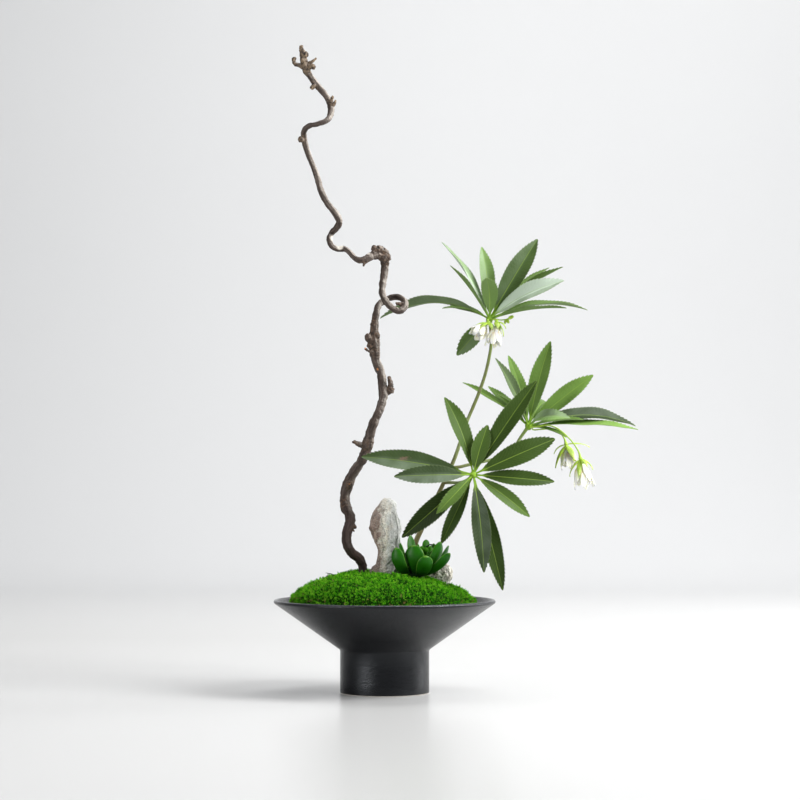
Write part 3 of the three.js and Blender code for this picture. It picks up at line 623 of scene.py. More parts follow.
def moss_soil(tree, surface):
    place = object_place(tree)
    patch = placed(tree, PATCHES, Place=place, Scale=160.0, Sharpness=0.6)
    soil = blend(tree, patch, colour(0.005, 0.022, 0.002), colour(0.015, 0.07, 0.004))
    wire(tree, surface, Base_Color=soil)
    roughen(tree, surface, place, 500.0, 0.001, 0.9)
    steady(surface, Roughness=0.95, Specular_IOR_Level=0.04)


moss_bed = pushed(remeshed(copied("moss", "moss_bed"), MOSS_VOXEL, 4), moss_push)
dressed(coated(moss_bed, material_with("moss_soil", moss_soil)), "moss", "moss")

# %% [markdown]
# One shoot is a little star of pointed leaflets that climb a short stem. Four slightly different shoots
# are enough for the eye, because each copy is turned, tilted, sized and toned at random.

# %% Moss shoots
# Radians from one leaf to the next round a stem, near the turn that plants keep
GOLDEN_TURN = 2.4
SHOOT_KINDS = 4
SHOOT_LEAFLETS = 13
SHOOT_HEIGHT = 3.2
SHOOT_REACH = 1.65
LEAFLET_HALF_WIDTH = 0.25
MOSS_SEED = 11


def moss_shoot(kind):
    """A small star of folded leaflets. The mark tip is 0 at a leaflet's foot and 1 at its point."""
    draw = random.Random(MOSS_SEED + kind)
    points, faces, tips = [], [], []
    for index in range(SHOOT_LEAFLETS):
        share = index / (SHOOT_LEAFLETS - 1)
        angle = index * GOLDEN_TURN + draw.uniform(-0.3, 0.3)
        out = Vector((math.cos(angle), math.sin(angle), 0))
        across = Vector((-out.y, out.x, 0)) * LEAFLET_HALF_WIDTH * draw.uniform(0.8, 1.2)
        foot = Vector((0, 0, SHOOT_HEIGHT * (0.15 + 0.6 * share)))
        reach = SHOOT_REACH * (1.0 - 0.6 * share) * draw.uniform(0.8, 1.15)
        middle = foot + out * reach * 0.5 + Vector((0, 0, 0.55 + 0.35 * share))
        point = foot + out * reach + Vector((0, 0, SHOOT_HEIGHT * (0.05 + 0.3 * share)))
        first = len(points)
        points += [foot, middle - across, point, middle + across]
        faces += [(first, first + 1, first + 2), (first, first + 2, first + 3)]
        tips += [0.0, 0.55, 1.0, 0.55]
    mesh = bpy.data.meshes.new(f"shoot_{kind}")
    mesh.from_pydata([point * MM for point in points], [], faces)
    keep_values(mesh, "tip", tips)
    return bpy.data.objects.new(f"shoot_{kind}", mesh)


shoots = bpy.data.collections.new("shoots")
for kind in range(SHOOT_KINDS):
    shoots.objects.link(moss_shoot(kind))

# %% [markdown]
# The scatter takes the bed's upward faces, keeps an even distance between shoots, and turns each one to
# the slope. It runs three times, for the left, the middle and the right of the mound, so that each
# piece stays light. Tone is one random number for a shoot, kept as an attribute that the finish reads.

# %% Shoot places
SHOOT_SPACING = 1.62
SHOOT_DENSITY = 600000.0
SHOOT_TILT = 0.5
MOSS_LOWEST = 104.5
LOWEST_SLOPE = -0.2
TONE_SEED = 5
MOSS_SECTORS = {"moss_left": (-130.0, -45.0), "moss_middle": (-45.0, 18.0), "moss_right": (18.0, 130.0)}


def moss_ground(group, given):
    """Where shoots may stand: inside the sector, above the bowl's lip, and not on the underside."""
    spot = axes(group, add(group, "GeometryNodeInputPosition").outputs[0])
    slope = axes(group, add(group, "GeometryNodeInputNormal").outputs[0])
    past = maths(group, "GREATER_THAN", spot[0], given["From"])
    inside = product(group, past, maths(group, "LESS_THAN", spot[0], given["To"]))
    high = maths(group, "GREATER_THAN", spot[2], given["Lowest"])
    above = product(group, high, maths(group, "GREATER_THAN", slope[2], LOWEST_SLOPE))
    return product(group, inside, above)


def shoot_turn(group, given, upright):
    """Leans each shoot a little, and turns it freely round its own axis."""
    lean = add(group, "FunctionNodeRandomValue", {"Seed": given["Seed"]}, data_type="FLOAT_VECTOR")
    for index, way in ((0, -1.0), (1, 1.0)):
        tilt = product(group, given["Tilt"], way)
        corner = add(group, "ShaderNodeCombineXYZ", {0: tilt, 1: tilt, 2: way * math.pi}).outputs[0]
        group.links.new(corner, lean.inputs[index])
    turn = add(group, "FunctionNodeEulerToRotation", {0: lean.outputs[0]}).outputs[0]
    ends = {0: upright, 1: turn}
    return add(group, "FunctionNodeRotateRotation", ends, rotation_space="LOCAL").outputs[0]


def shoot_size(group, given):
    """Tall and short shoots in drifts, with a little chance in each."""
    place = add(group, "GeometryNodeInputPosition").outputs[0]
    drift = remap(group, cloud(group, place, 190.0, 3.0), 0.38, 0.62, 0.55, 1.2)
    span = {2: 0.75, 3: 1.25, "Seed": given["Seed"]}
    chance = add(group, "FunctionNodeRandomValue", span, data_type="FLOAT").outputs[1]
    return product(group, drift, chance)


print("sectors:", {name: round(high - low) for name, (low, high) in MOSS_SECTORS.items()})


# %% Moss scatter
def scattering_tree():
    """Plants one of the shoots on each of many evenly spaced places of a bed."""
    sizes = [(name, FLOAT, 0.0) for name in ("Spacing", "Density", "Tilt", "From", "To", "Lowest")]
    inputs = [("Shoots", "NodeSocketCollection", None), *sizes, ("Seed", INTEGER, 0)]
    group, given, told = geometry_group("scattering", *inputs)
    spread = add(group, "GeometryNodeDistributePointsOnFaces", {
        "Mesh": given["Geometry"], "Selection": moss_ground(group, given), "Seed": given["Seed"],
        "Distance Min": given["Spacing"], "Density Max": given["Density"],
    }, distribute_method="POISSON").outputs
    kinds = {"Collection": given["Shoots"], "Separate Children": True, "Reset Children": True}
    planted = add(group, "GeometryNodeInstanceOnPoints", {
        "Points": spread["Points"], "Instance": add(group, "GeometryNodeCollectionInfo", kinds).outputs[0],
        "Pick Instance": True, "Rotation": shoot_turn(group, given, spread["Rotation"]),
        "Scale": shoot_size(group, given),
    }).outputs[0]
    tone = add(group, "FunctionNodeRandomValue", {"Seed": TONE_SEED}, data_type="FLOAT").outputs[1]
    kept = {"Geometry": planted, "Name": "tone", "Value": tone}
    toned = add(group, "GeometryNodeStoreNamedAttribute", kept, data_type="FLOAT", domain="INSTANCE")
    close_tree(group, toned.outputs[0], given, told)
    return group


SCATTERING = scattering_tree()
print("nodes of the scatter:", len(SCATTERING.nodes))


# %% Moss finish
def moss_green(tree, surface):
    tone = marked(tree, "tone")
    tip = marked(tree, "tip")
    place = object_place(tree)
    patch = placed(tree, PATCHES, Place=place, Scale=45.0, Sharpness=0.3)
    # Bright tips and dark feet: partly young growth, and partly painted shade low in the crowd of shoots
    young = blend(tree, tone, colour(0.09, 0.62, 0.004), colour(0.52, 1.0, 0.08))
    old = blend(tree, tone, colour(0.006, 0.09, 0.001), colour(0.04, 0.36, 0.002))
    body = blend(tree, remap(tree, tip, 0.1, 0.75), old, young)
    mellow = blend(tree, product(tree, patch, 0.3), body, colour(0.06, 0.34, 0.004))
    # Painted shade: dark patches stand for the shade in the gaps between shoots
    gap_shade = remap(tree, cloud(tree, place, 300.0, 3.0), 0.40, 0.49, 0.95, 0.0)
    shaded = blend(tree, gap_shade, mellow, colour(0.006, 0.045, 0.002))
    low = remap(tree, axes(tree, place)[2], 0.107, 0.116, 0.86, 0.997)
    straw = maths(tree, "GREATER_THAN", tone, low)
    wire(tree, surface, Base_Color=blend(tree, straw, shaded, colour(0.34, 0.27, 0.10)))
    steady(surface, Roughness=0.7, Specular_IOR_Level=0.04)


MOSS_GREEN = material_with("moss_green", moss_green)

# %% Moss pieces
for number, (sector, (low, high)) in enumerate(MOSS_SECTORS.items()):
    bed = link(bpy.data.objects.new("bed", moss_bed.data.copy()))
    moss_sector = grown(sector, bed, SCATTERING, {
        "Shoots": shoots, "Spacing": SHOOT_SPACING * MM, "Density": SHOOT_DENSITY, "Tilt": SHOOT_TILT,
        "From": low * MM, "To": high * MM, "Lowest": MOSS_LOWEST * MM, "Seed": MOSS_SEED + number,
        "Material": MOSS_GREEN,
    })
    dressed(moss_sector, "moss")

# %% [markdown]
# The branch is contorted hazel: it corkscrews from the moss to its tip, with cut snags, bud knobs and
# rings of wrinkled bark. A swept tube alone would meet each snag in a hard line. So the trunk and the
# snags are swept from their paths, fused by a voxel remesh, and then ridged along the grain in mesh
# code.

# %% Branch path
# x, y, z and radius from root to tip
BRANCH_PATH = [
    (-27, 8, 58, 5.4), (-27, 8, 112, 5.4), (-27, 8, 134, 5.4), (-26, 6, 148, 5.5), (-30.5, 1, 157.5, 5.5),
    (-38.5, -6, 164, 5.5), (-44, -11, 174.5, 5.6), (-44, -10, 188, 5.6), (-41, -3, 198, 6),
    (-41, 4.5, 207, 5.8), (-46, 13, 217, 6.2), (-47, 17, 230.5, 6.1), (-43, 15, 245.5, 6.4),
    (-36.5, 11.5, 258.5, 5.7), (-27, 8, 272, 5.6), (-21.5, 6, 285, 6.4), (-19.5, 2.5, 294, 6.4),
    (-16.5, -3, 305.5, 5.6), (-12, -6.5, 318.5, 5.2), (-6, -6.5, 331.5, 5), (-1.5, -1, 347, 5.2),
    (-2.5, 6, 360, 5.3), (-4.5, 13.5, 375.5, 5.2), (-10, 15, 389, 5.2), (-12, 11.5, 402, 6.4),
    (-13.5, 8, 415, 7.6), (-12.5, 6, 425, 5.4), (-11.5, 6, 435.5, 4.1), (-10, 10, 447, 4),
    (-7.5, 15, 456.5, 3.9), (-1.5, 19, 461.5, 3.9), (5, 20.5, 465, 3.8), (11.5, 19, 466.5, 3.8),
    (18.5, 15, 465, 3.8), (23.5, 10, 460.5, 3.8), (24, 2.5, 454.5, 3.8), (20.5, -1, 449.5, 3.8),
    (15, -3, 448, 3.8), (8.5, -3, 451.5, 3.8), (3.5, -3, 456.5, 3.8), (-1, -1, 463, 3.9), (-3, 2.5, 471, 4),
    (-2.5, 8, 481, 4.1), (-1, 11.5, 491, 4.3), (0, 13.5, 501.5, 4.5), (-0.5, 11.5, 510, 5.6),
    (-4, 6, 515, 6.4), (-10, 1, 515.5, 5.6), (-17.5, -4.5, 511.5, 4.8), (-25.5, -6.5, 507.5, 3.9),
    (-34, -3, 509.5, 3.4), (-41, 4.5, 517.5, 3.2), (-48, 10, 523, 3.2), (-55.5, 10, 522.5, 3.2),
    (-63, 6, 526, 3.1), (-65.5, 4.5, 533.5, 3), (-63, 8, 541.5, 3), (-57, 1, 546.5, 3.2),
    (-53.5, -6.5, 553, 3.2), (-57.5, -8, 562, 3.2), (-67.5, -4.5, 575, 3.1), (-75, 1, 590, 3.2),
    (-79.5, 8, 606, 2.9), (-85, 13.5, 621.5, 2.6), (-91.5, 15, 637.5, 2.6), (-95.5, 11.5, 652, 3),
    (-95.5, 2.5, 662, 2.6), (-89, -6.5, 667, 2.4), (-79, -10, 668.5, 2.3), (-69, -8, 672.5, 2.5),
    (-64, -1, 681.5, 2.9), (-64.5, 8, 694, 3), (-70.5, 13.5, 706.5, 2.9), (-80.5, 17, 719, 2.8),
    (-89.5, 15, 730.5, 3), (-94.5, 13.5, 739.5, 3.9), (-96.5, 11.5, 747.5, 3.6), (-97, 11.5, 755.5, 3.6),
    (-99, 10, 761, 2.4), (-100, 10, 765.5, 1.4),
]
# Spurs, cut snags and bud knobs: short runs of x, y, z and radius
BRANCH_SPURS = [
    [[-40, 4, 199, 4], [-34.5, 2, 193, 2.2]],
    [[-43, 13, 240, 5], [-42, 3, 242, 4.4], [-42, -0.5, 242.5, 3.2]],
    [[-24, 4, 289, 4], [-32, 1, 292, 3], [-37, -1, 295, 2.2]],
    [[-2, 4, 350, 4], [5, 2, 354, 4.4], [7, 1, 361, 3.2], [5.5, 0, 367, 2.8], [6, 0, 371, 1.8]],
    [[-13, 8, 401, 3], [-19, 5, 401, 1.1], [-24, 3, 405, 0.9]],
    [[-14, 8, 413, 6], [-20, 3, 417, 4], [-19, 2, 422, 2.4]],
    [[-12, 6, 418, 5], [-7, 3, 421, 3.6]],
    [[21, 4, 456, 3], [16, 3, 457, 2.4], [13.5, 2, 456.5, 1.4]],
    [[-8, 2, 515, 5], [-12, -2, 522, 4], [-13.5, -3, 525, 2.4]],
    [[-3, 6, 515, 5], [-2, 1, 517, 4.4]],
    [[-21, -6, 509, 3], [-24.5, -8, 502, 2], [-25, -8, 500, 1.2]],
    [[-95.5, 9, 652, 2.6], [-99.5, 6, 653, 2.4], [-101.5, 5, 651, 1.4]],
    [[-65, 6, 692, 2.6], [-60, 4, 695, 1.6], [-58.5, 3, 699, 1]],
    [[-65, 6, 695, 2.4], [-62.5, 4, 701, 1.4], [-62, 4, 705, 0.9]],
    [[-84, 16, 719, 2.4], [-87, 14, 716, 2], [-88, 13, 714.5, 1.2]],
    [[-95, 13, 740, 3], [-103, 11, 743, 2], [-107.5, 10, 743.5, 1.7], [-108.5, 10, 751, 2.2]],
    [[-92, 13, 742, 3], [-86, 11, 741, 2.8], [-84, 10, 738.5, 1.8]],
    [[-90, 12, 745, 1.2], [-82, 11, 750.5, 0.9]],
    [[-96, 11, 753, 3], [-92.5, 9, 756, 1.8]],
]
# Lumps of gnarled bark that stand on the branch
BURLS = [
    [(-14, -4, 516, 3), (-9, -2, 521, 4.6)], [(-9, -2, 521, 4.6), (-3, 2, 521, 4.4)],
    [(-3, 3, 520, 4.6), (2, 8, 516, 4.6)], [(2, 8, 516, 4.2), (4, 10, 509, 3.8)],
    [(-40, -3, 192, 3.2), (-35.5, -3, 189, 1.6)], [(-45, 12, 219, 5.2), (-50, 10, 222, 3.2)],
    [(-15, 7, 408, 4), (-19, 4, 407, 3)], [(-13, 8, 430, 4.4), (-15, 5, 434, 2.6)],
    [(6, 1, 352, 4.8), (8, 1, 358, 4.4)], [(-42, 3, 243, 4.6), (-41, -2, 244.5, 3.8)],
]
BRANCH_SIDES = 20
BRANCH_STEPS = 4
print("stops:", len(BRANCH_PATH), "spurs:", len(BRANCH_SPURS))


# %% Lofted skins
class Skin:
    """Collects lofted shells, in millimetres, into one mesh. Marks are vectors that the finishes read."""

    def __init__(self):
        self.points, self.faces, self.finishes, self.marks = [], [], [], {}

    def loft(self, rings, finish=lambda column: 0, marks=None):
        """A closed skin through rings of equal count. marks holds a vector for each point of each ring."""
        sides, first = len(rings[0]), len(self.points)
        self.points += [point for ring in rings for point in ring]
        ends = [sum(ring, Vector()) / sides for ring in (rings[0], rings[-1])]
        self.points += ends
        for row in range(len(rings) - 1):
            for column in range(sides):
                a = first + row * sides + column
                b = first + row * sides + (column + 1) % sides
                self.faces.append((a, b, b + sides, a + sides))
                self.finishes.append(finish(column))
        last, caps = first + (len(rings) - 1) * sides, first + len(rings) * sides
        for column in range(sides):
            after = (column + 1) % sides
            self.faces += [(caps, first + after, first + column), (caps + 1, last + column, last + after)]
            self.finishes += [finish(column)] * 2
        for name, values in (marks or {}).items():
            told = self.marks.setdefault(name, [])
            told += [Vector()] * (first - len(told))
            told += [value for ring in values for value in ring] + [values[0][0], values[-1][0]]

    def piece(self, name, materials):
        mesh = bpy.data.meshes.new(name)
        mesh.from_pydata([point * MM for point in self.points], [], self.faces)
        for material in materials:
            mesh.materials.append(material)
        mesh.polygons.foreach_set("material_index", self.finishes)
        for mark, vectors in self.marks.items():
            keep_vectors(mesh, mark, vectors + [Vector()] * (len(self.points) - len(vectors)))
        turn_outwards(mesh)
        mesh.shade_smooth()
        return link(bpy.data.objects.new(name, mesh))


print("a skin collects:", sorted(vars(Skin())))


# %% Smooth paths
def smooth_path(stops, per_span):
    """Places along a smooth curve through stops of x, y, z and radius.

    A place is its point, direction, side, up, radius, and the length so far.
    """
    anchors = [Vector(stop[:3]) for stop in stops]
    spans = len(anchors) - 1
    before = [2 * anchors[0] - anchors[1]] + anchors[:-1]
    after = anchors[1:] + [2 * anchors[-1] - anchors[-2]]
    slopes = [(late - early) / 2 for early, late in zip(before, after)]
    places, side, length = [], None, 0.0
    for step in range(spans * per_span + 1):
        span = min(spans - 1, step // per_span)
        t = step / per_span - span
        a, b, m, n = anchors[span], anchors[span + 1], slopes[span], slopes[span + 1]
        bend = 2 * a - 2 * b + m + n
        curl = -3 * a + 3 * b - 2 * m - n
        point = bend * t**3 + curl * t**2 + m * t + a
        along = (3 * bend * t**2 + 2 * curl * t + m).normalized()
        if side is None:
            side = Vector((0, 1, 0)) if abs(along.x) > 0.8 else Vector((1, 0, 0))
        side = (side - along * side.dot(along)).normalized()
        radius = stops[span][3] * (1 - t) + stops[span + 1][3] * t
        if places:
            length += (point - places[-1][0]).length
        places.append((point, along, side, along.cross(side), radius, length))
    return places


print("places along the branch:", len(smooth_path(BRANCH_PATH, BRANCH_STEPS)))

# %% Branch tubes
KNOT_REACH = 11.0
KNOT_RADIUS = 6.3
TIP_HEIGHT = 736
SWOLLEN = [stop for stop in BRANCH_PATH if stop[3] > KNOT_RADIUS or stop[2] > TIP_HEIGHT]
KNOTS = [Vector(stop[:3]) for stop in [run[-1] for run in BRANCH_SPURS + BURLS] + SWOLLEN]
print("knots:", len(KNOTS))


def knottiness(point):
    """How close a place is to a knot or snag, from 0 to 1."""
    nearest = min((point - knot).length for knot in KNOTS)
    return max(0.0, 1.0 - nearest / KNOT_REACH)


def oval(centre, side, across, up, high, sides):
    """A ring of points round a centre, its half axes across and high."""
    turns = (2 * math.pi * k / sides for k in range(sides))
    return [centre + side * (across * math.cos(turn)) + up * (high * math.sin(turn)) for turn in turns]


def swept(skin, stops, sides, steps, swell=0.0):
    """Adds a round tube along the stops, its rings swollen a little at random."""
    rings = []
    for point, _, side, up, radius, length in smooth_path(stops, steps):
        reach = radius * (1 + swell * noise.noise(Vector((length / 6, stops[0][0], 0))))
        rings.append(oval(point, side, reach, up, reach, sides))
    skin.loft(rings)


def branch_tubes():
    """The trunk with its spurs and burls, as tubes that still run through each other."""
    skin = Skin()
    swept(skin, BRANCH_PATH, BRANCH_SIDES, BRANCH_STEPS, swell=0.22)
    for run in BRANCH_SPURS + BURLS:
        swept(skin, run, sides=12, steps=3, swell=0.2)
    return skin.piece("branch_bark", [])


# %% Branch grain
GRAIN_RADIUS = 5
TRAIL_STEPS = 12
TRAIL = smooth_path(BRANCH_PATH, TRAIL_STEPS)


def trail_tree():
    """Finds the nearest place of the branch's middle line fast."""
    tree = kdtree.KDTree(len(TRAIL))
    for index, place in enumerate(TRAIL):
        tree.insert(place[0], index)
    tree.balance()
    return tree


def grain_place(point, tree):
    """A place in the bark's own space, round and along the branch, where the grain runs straight."""
    middle, _, side, up, _, length = TRAIL[tree.find(point)[1]]
    off = point - middle
    turn = math.atan2(off.dot(up), off.dot(side))
    return Vector((math.cos(turn) * GRAIN_RADIUS, math.sin(turn) * GRAIN_RADIUS, length))


print("places along the trail:", len(TRAIL))

# %% Branch bark
BRANCH_VOXEL = 0.68
RIDGE_DEPTH, RIDGE_SIZE, FIBRE_LENGTH = 0.5, 1.9, 26.0
WRINKLE_DEPTH, WRINKLE_SIZE, WRINKLE_STEP = 0.42, 3.2, 1.6
LUMP_SIZE = 4.0
# The extra radius of the upper branch, and the heights where it starts and where it is whole
THICKER, THICKER_FROM, THICKER_TO = 0.75, 500, 560
# The way the window light falls on the branch; the finish paints the side facing it pale, as painted light
LIT_SIDE = Vector((0.8, -0.2, 0.56))


def rough_noise(place):
    """Three layers of noise, each twice as fine as the one before."""
    return noise.fractal(place, 0.9, 2.0, 3)


def bark_push(point, grain):
    """Long fibrous ridges, finer cross wrinkles and rough knots."""
    knot = knottiness(point)
    long_way = Vector((grain.x / RIDGE_SIZE, grain.y / RIDGE_SIZE, grain.z / FIBRE_LENGTH))
    cross_way = Vector((grain.x / WRINKLE_SIZE, grain.y / WRINKLE_SIZE, grain.z / WRINKLE_STEP))
    ridge, wrinkle = noise.noise(long_way), noise.noise(cross_way)
    lump = rough_noise(point / LUMP_SIZE)
    layer = THICKER * ease(point.z, THICKER_FROM, THICKER_TO)
    return layer + RIDGE_DEPTH * ridge + WRINKLE_DEPTH * wrinkle * (0.5 + knot) + lump * (0.3 + 1.05 * knot)


def barked(piece):
    """Gives the branch its bark, and marks grain, knots and the sides that face the window, which the
    finish paints pale as painted light.
    """
    tree = trail_tree()
    grains = [grain_place(vertex.co / MM, tree) for vertex in piece.data.vertices]
    shift = iter(grains)
    pushed(piece, lambda point, normal: bark_push(point, next(shift)))
    corners = piece.data.vertices
    keep_vectors(piece.data, "grain", [grain * MM for grain in grains])
    keep_values(piece.data, "knot", [knottiness(corner.co / MM) for corner in corners])
    # Painted light: how much each place faces the window light, so the finish can paint the lit side pale
    lit_sides = [ease(corner.normal.dot(LIT_SIDE), 0.3, 0.95) for corner in corners]
    keep_values(piece.data, "bleached", lit_sides)
    return piece


thickest = 2 * max(stop[3] for stop in BRANCH_PATH)
print("voxels across the branch at its thickest:", round(thickest / BRANCH_VOXEL))

# %% Branch finish
# Each spot's place and reach, and the share of its reach that is bare in full
FRESH_CUTS = [((-24, 3, 405), 2.6), ((-41.5, -4.5, 245), 2.3), ((-9, 8, 380), 2.6), ((-24.5, -8, 500), 1.2)]
BARE_SPOTS = [((-53, 7, 525), 4.5), ((-60.5, 2, 535), 5.0), ((-19, -6, 514), 3.0)]
SPOT_CORE = 0.55


def near_spots(tree, place, spots):
    """A mask of a few spots, each with its reach, where the bark is nicked or has come off."""
    total = 0.0
    for spot, reach in spots:
        ends = {0: place, 1: Vector(spot) * MM}
        away = add(tree, "ShaderNodeVectorMath", ends, operation="DISTANCE").outputs[1]
        near = remap(tree, away, reach * SPOT_CORE * MM, reach * MM, 1.0, 0.0)
        total = maths(tree, "MAXIMUM", total, near)
    return total


def plain_bark(tree, height, fibres, streaks):
    """Fibrous bark, dark and reddish near the moss, greyer and silvered higher up."""
    low_bark = blend(tree, fibres, colour(0.006, 0.003, 0.0022), colour(0.060, 0.032, 0.025))
    high_bark = blend(tree, fibres, colour(0.0085, 0.0056, 0.0043), colour(0.106, 0.074, 0.058))
    climb = remap(tree, height, 0.195, 0.235)
    most = remap(tree, climb, 0.0, 1.0, 0.14, 0.4)
    silver = product(tree, remap(tree, streaks, 0.5, 0.72), most)
    return blend(tree, silver, blend(tree, climb, low_bark, high_bark), colour(0.31, 0.26, 0.23))


def scaly_bark(tree, place, height):
    """The rough scales of the knots, ochre between dark cracks, and palest at the tip."""
    cracks = placed(tree, PATCHES, Place=place, Scale=330.0, Sharpness=0.75)
    tip = remap(tree, height, 0.60, 0.69)
    ochre = blend(tree, tip, colour(0.17, 0.105, 0.065), colour(0.40, 0.29, 0.18))
    return blend(tree, cracks, colour(0.009, 0.0045, 0.003), ochre)


def hazel_bark(tree, surface):
    place = object_place(tree)
    height = axes(tree, place)[2]
    knot = marked(tree, "knot")
    long_grain = stretched(tree, marked(tree, "grain", "Vector"), 1, 1, 0.12)
    fibres = remap(tree, cloud(tree, long_grain, 480.0, 5.0, 0.7), 0.3, 0.7)
    streaks = cloud(tree, long_grain, 210.0, 3.0)
    silvered = plain_bark(tree, height, fibres, streaks)
    pores = product(tree, placed(tree, SPECKLES, Place=place, Scale=430.0, Share=0.3), 0.7)
    dotted = blend(tree, pores, silvered, colour(0.022, 0.014, 0.011))
    knotted = blend(tree, product(tree, knot, 0.85), dotted, scaly_bark(tree, place, height))
    # Painted light: the side facing the window is painted pale, mostly for the light on it and partly as
    # sun bleaching
    painted_light = product(tree, marked(tree, "bleached"), remap(tree, fibres, 0.1, 0.9, 0.15, 0.7))
    smooth_run = remap(tree, knot, 0.1, 0.8, 1.0, 0.12)
    open_run = product(tree, remap(tree, height, 0.205, 0.25), smooth_run)
    lit_side_painted = blend(tree, product(tree, painted_light, open_run), knotted, colour(0.66, 0.60, 0.53))
    highlit_and_spotted = blend(tree, near_spots(tree, place, BARE_SPOTS), lit_side_painted, colour(0.74, 0.69, 0.61))
    nicked = blend(tree, near_spots(tree, place, FRESH_CUTS), highlit_and_spotted, colour(0.62, 0.24, 0.07))
    wire(tree, surface, Base_Color=nicked, Roughness=remap(tree, streaks, 0.3, 0.7, 0.62, 0.82))
    wire(tree, surface, Normal=bumped(tree, fibres, 0.0007, 0.75))
    steady(surface, Specular_IOR_Level=0.35)


HAZEL_BARK = material_with("hazel_bark", hazel_bark)

# %% Branch
branch = barked(remeshed(branch_tubes(), BRANCH_VOXEL, 1))
branch.data.shade_smooth()
dressed(coated(branch, HAZEL_BARK), "bark", "branch")

# %% [markdown]
# The stones are broken rock, not smooth lumps. Their packed solids already have the right outline, so
# copies of them are remeshed finely and pushed in and out by layered noise: broad dents, chipped steps
# and a gritty skin. Carving them by hand would take longer and would be harder to repeat.

# %% Stone shapes
STONE_VOXEL = 0.62
# Where the slab's two front faces meet, and how fast each one falls away from there
SLAB_RIDGE = -2.0
RIDGE_HEIGHT, RIGHT_FALL, LEFT_FALL = 2.0, 0.30, 0.12
# The slab's chips are taller than wide, so heights are squeezed before the noise is read
SLAB_SQUEEZE = 0.66
PLATE_SIZE, FLAKE_SIZE, DENT_SIZE, GRIT_SIZE = 8.5, 3.1, 14.0, 1.8
PIT_DEPTH, PIT_SIZE, PIT_LEVEL = 2.6, 1.9, 0.28
CRACK_WIDTH = 0.16


def chip(point, size):
    """Height of the broken plate at a place, from -1 to 1, and how near its edge is, from 0 to 1."""
    spaces, middles = noise.voronoi(point / size + 0.35 * noise.noise_vector(point / size * 1.7))
    edge = max(0.0, 1 - (spaces[1] - spaces[0]) / CRACK_WIDTH)
    return noise.cell(middles[0] * 9.7) * 2 - 1, edge


def slab_push(point, normal):
    """Two faces that meet in a ridge, with dents, chipped plates, cracks and a gritty skin."""
    upright = Vector((point.x, point.y, point.z * SLAB_SQUEEZE))
    plate, edge = chip(upright, PLATE_SIZE)
    flake, flake_edge = chip(upright, FLAKE_SIZE)
    dents = 1.2 * noise.noise(upright / DENT_SIZE)
    grit = 0.3 * rough_noise(point / GRIT_SIZE)
    fall = RIGHT_FALL if point.x > SLAB_RIDGE else LEFT_FALL
    ridge = max(0.0, -normal.y) * (RIDGE_HEIGHT - fall * abs(point.x - SLAB_RIDGE))
    # The outline swells low and high on the right, and low and half way up on the left
    foot = 4.5 * max(0.0, normal.x) * ease(point.z, 182, 150)
    top = 2.4 * max(0.0, normal.x) * ease(point.z, 206, 224)
    left = max(0.0, -normal.x)
    heel = 3.4 * left * ease(point.z, 151, 145)
    band = ease(point.z, 180, 188) * ease(point.z, 222, 214)
    cheek = 1.8 * left * math.sin(math.pi * (point.z - 196) / 22) * band
    calm = 1 - 0.55 * left
    plates = 0.5 * plate * (1 - edge) - 0.3 * edge + 0.28 * flake - 0.12 * flake_edge
    return calm * (dents + plates) + grit + ridge + foot + top + heel + cheek


def boulder_push(point, normal):
    """Dents and small deep pits of a granite pebble."""
    dents = 0.9 * noise.noise(point / 8.0) + 0.5 * chip(point, 7.0)[0]
    pit = max(0.0, noise.noise(point / PIT_SIZE) - PIT_LEVEL)
    grit = 0.22 * rough_noise(point / 1.5)
    return dents + grit - PIT_DEPTH * pit


print("stones are remeshed at", STONE_VOXEL, "mm")


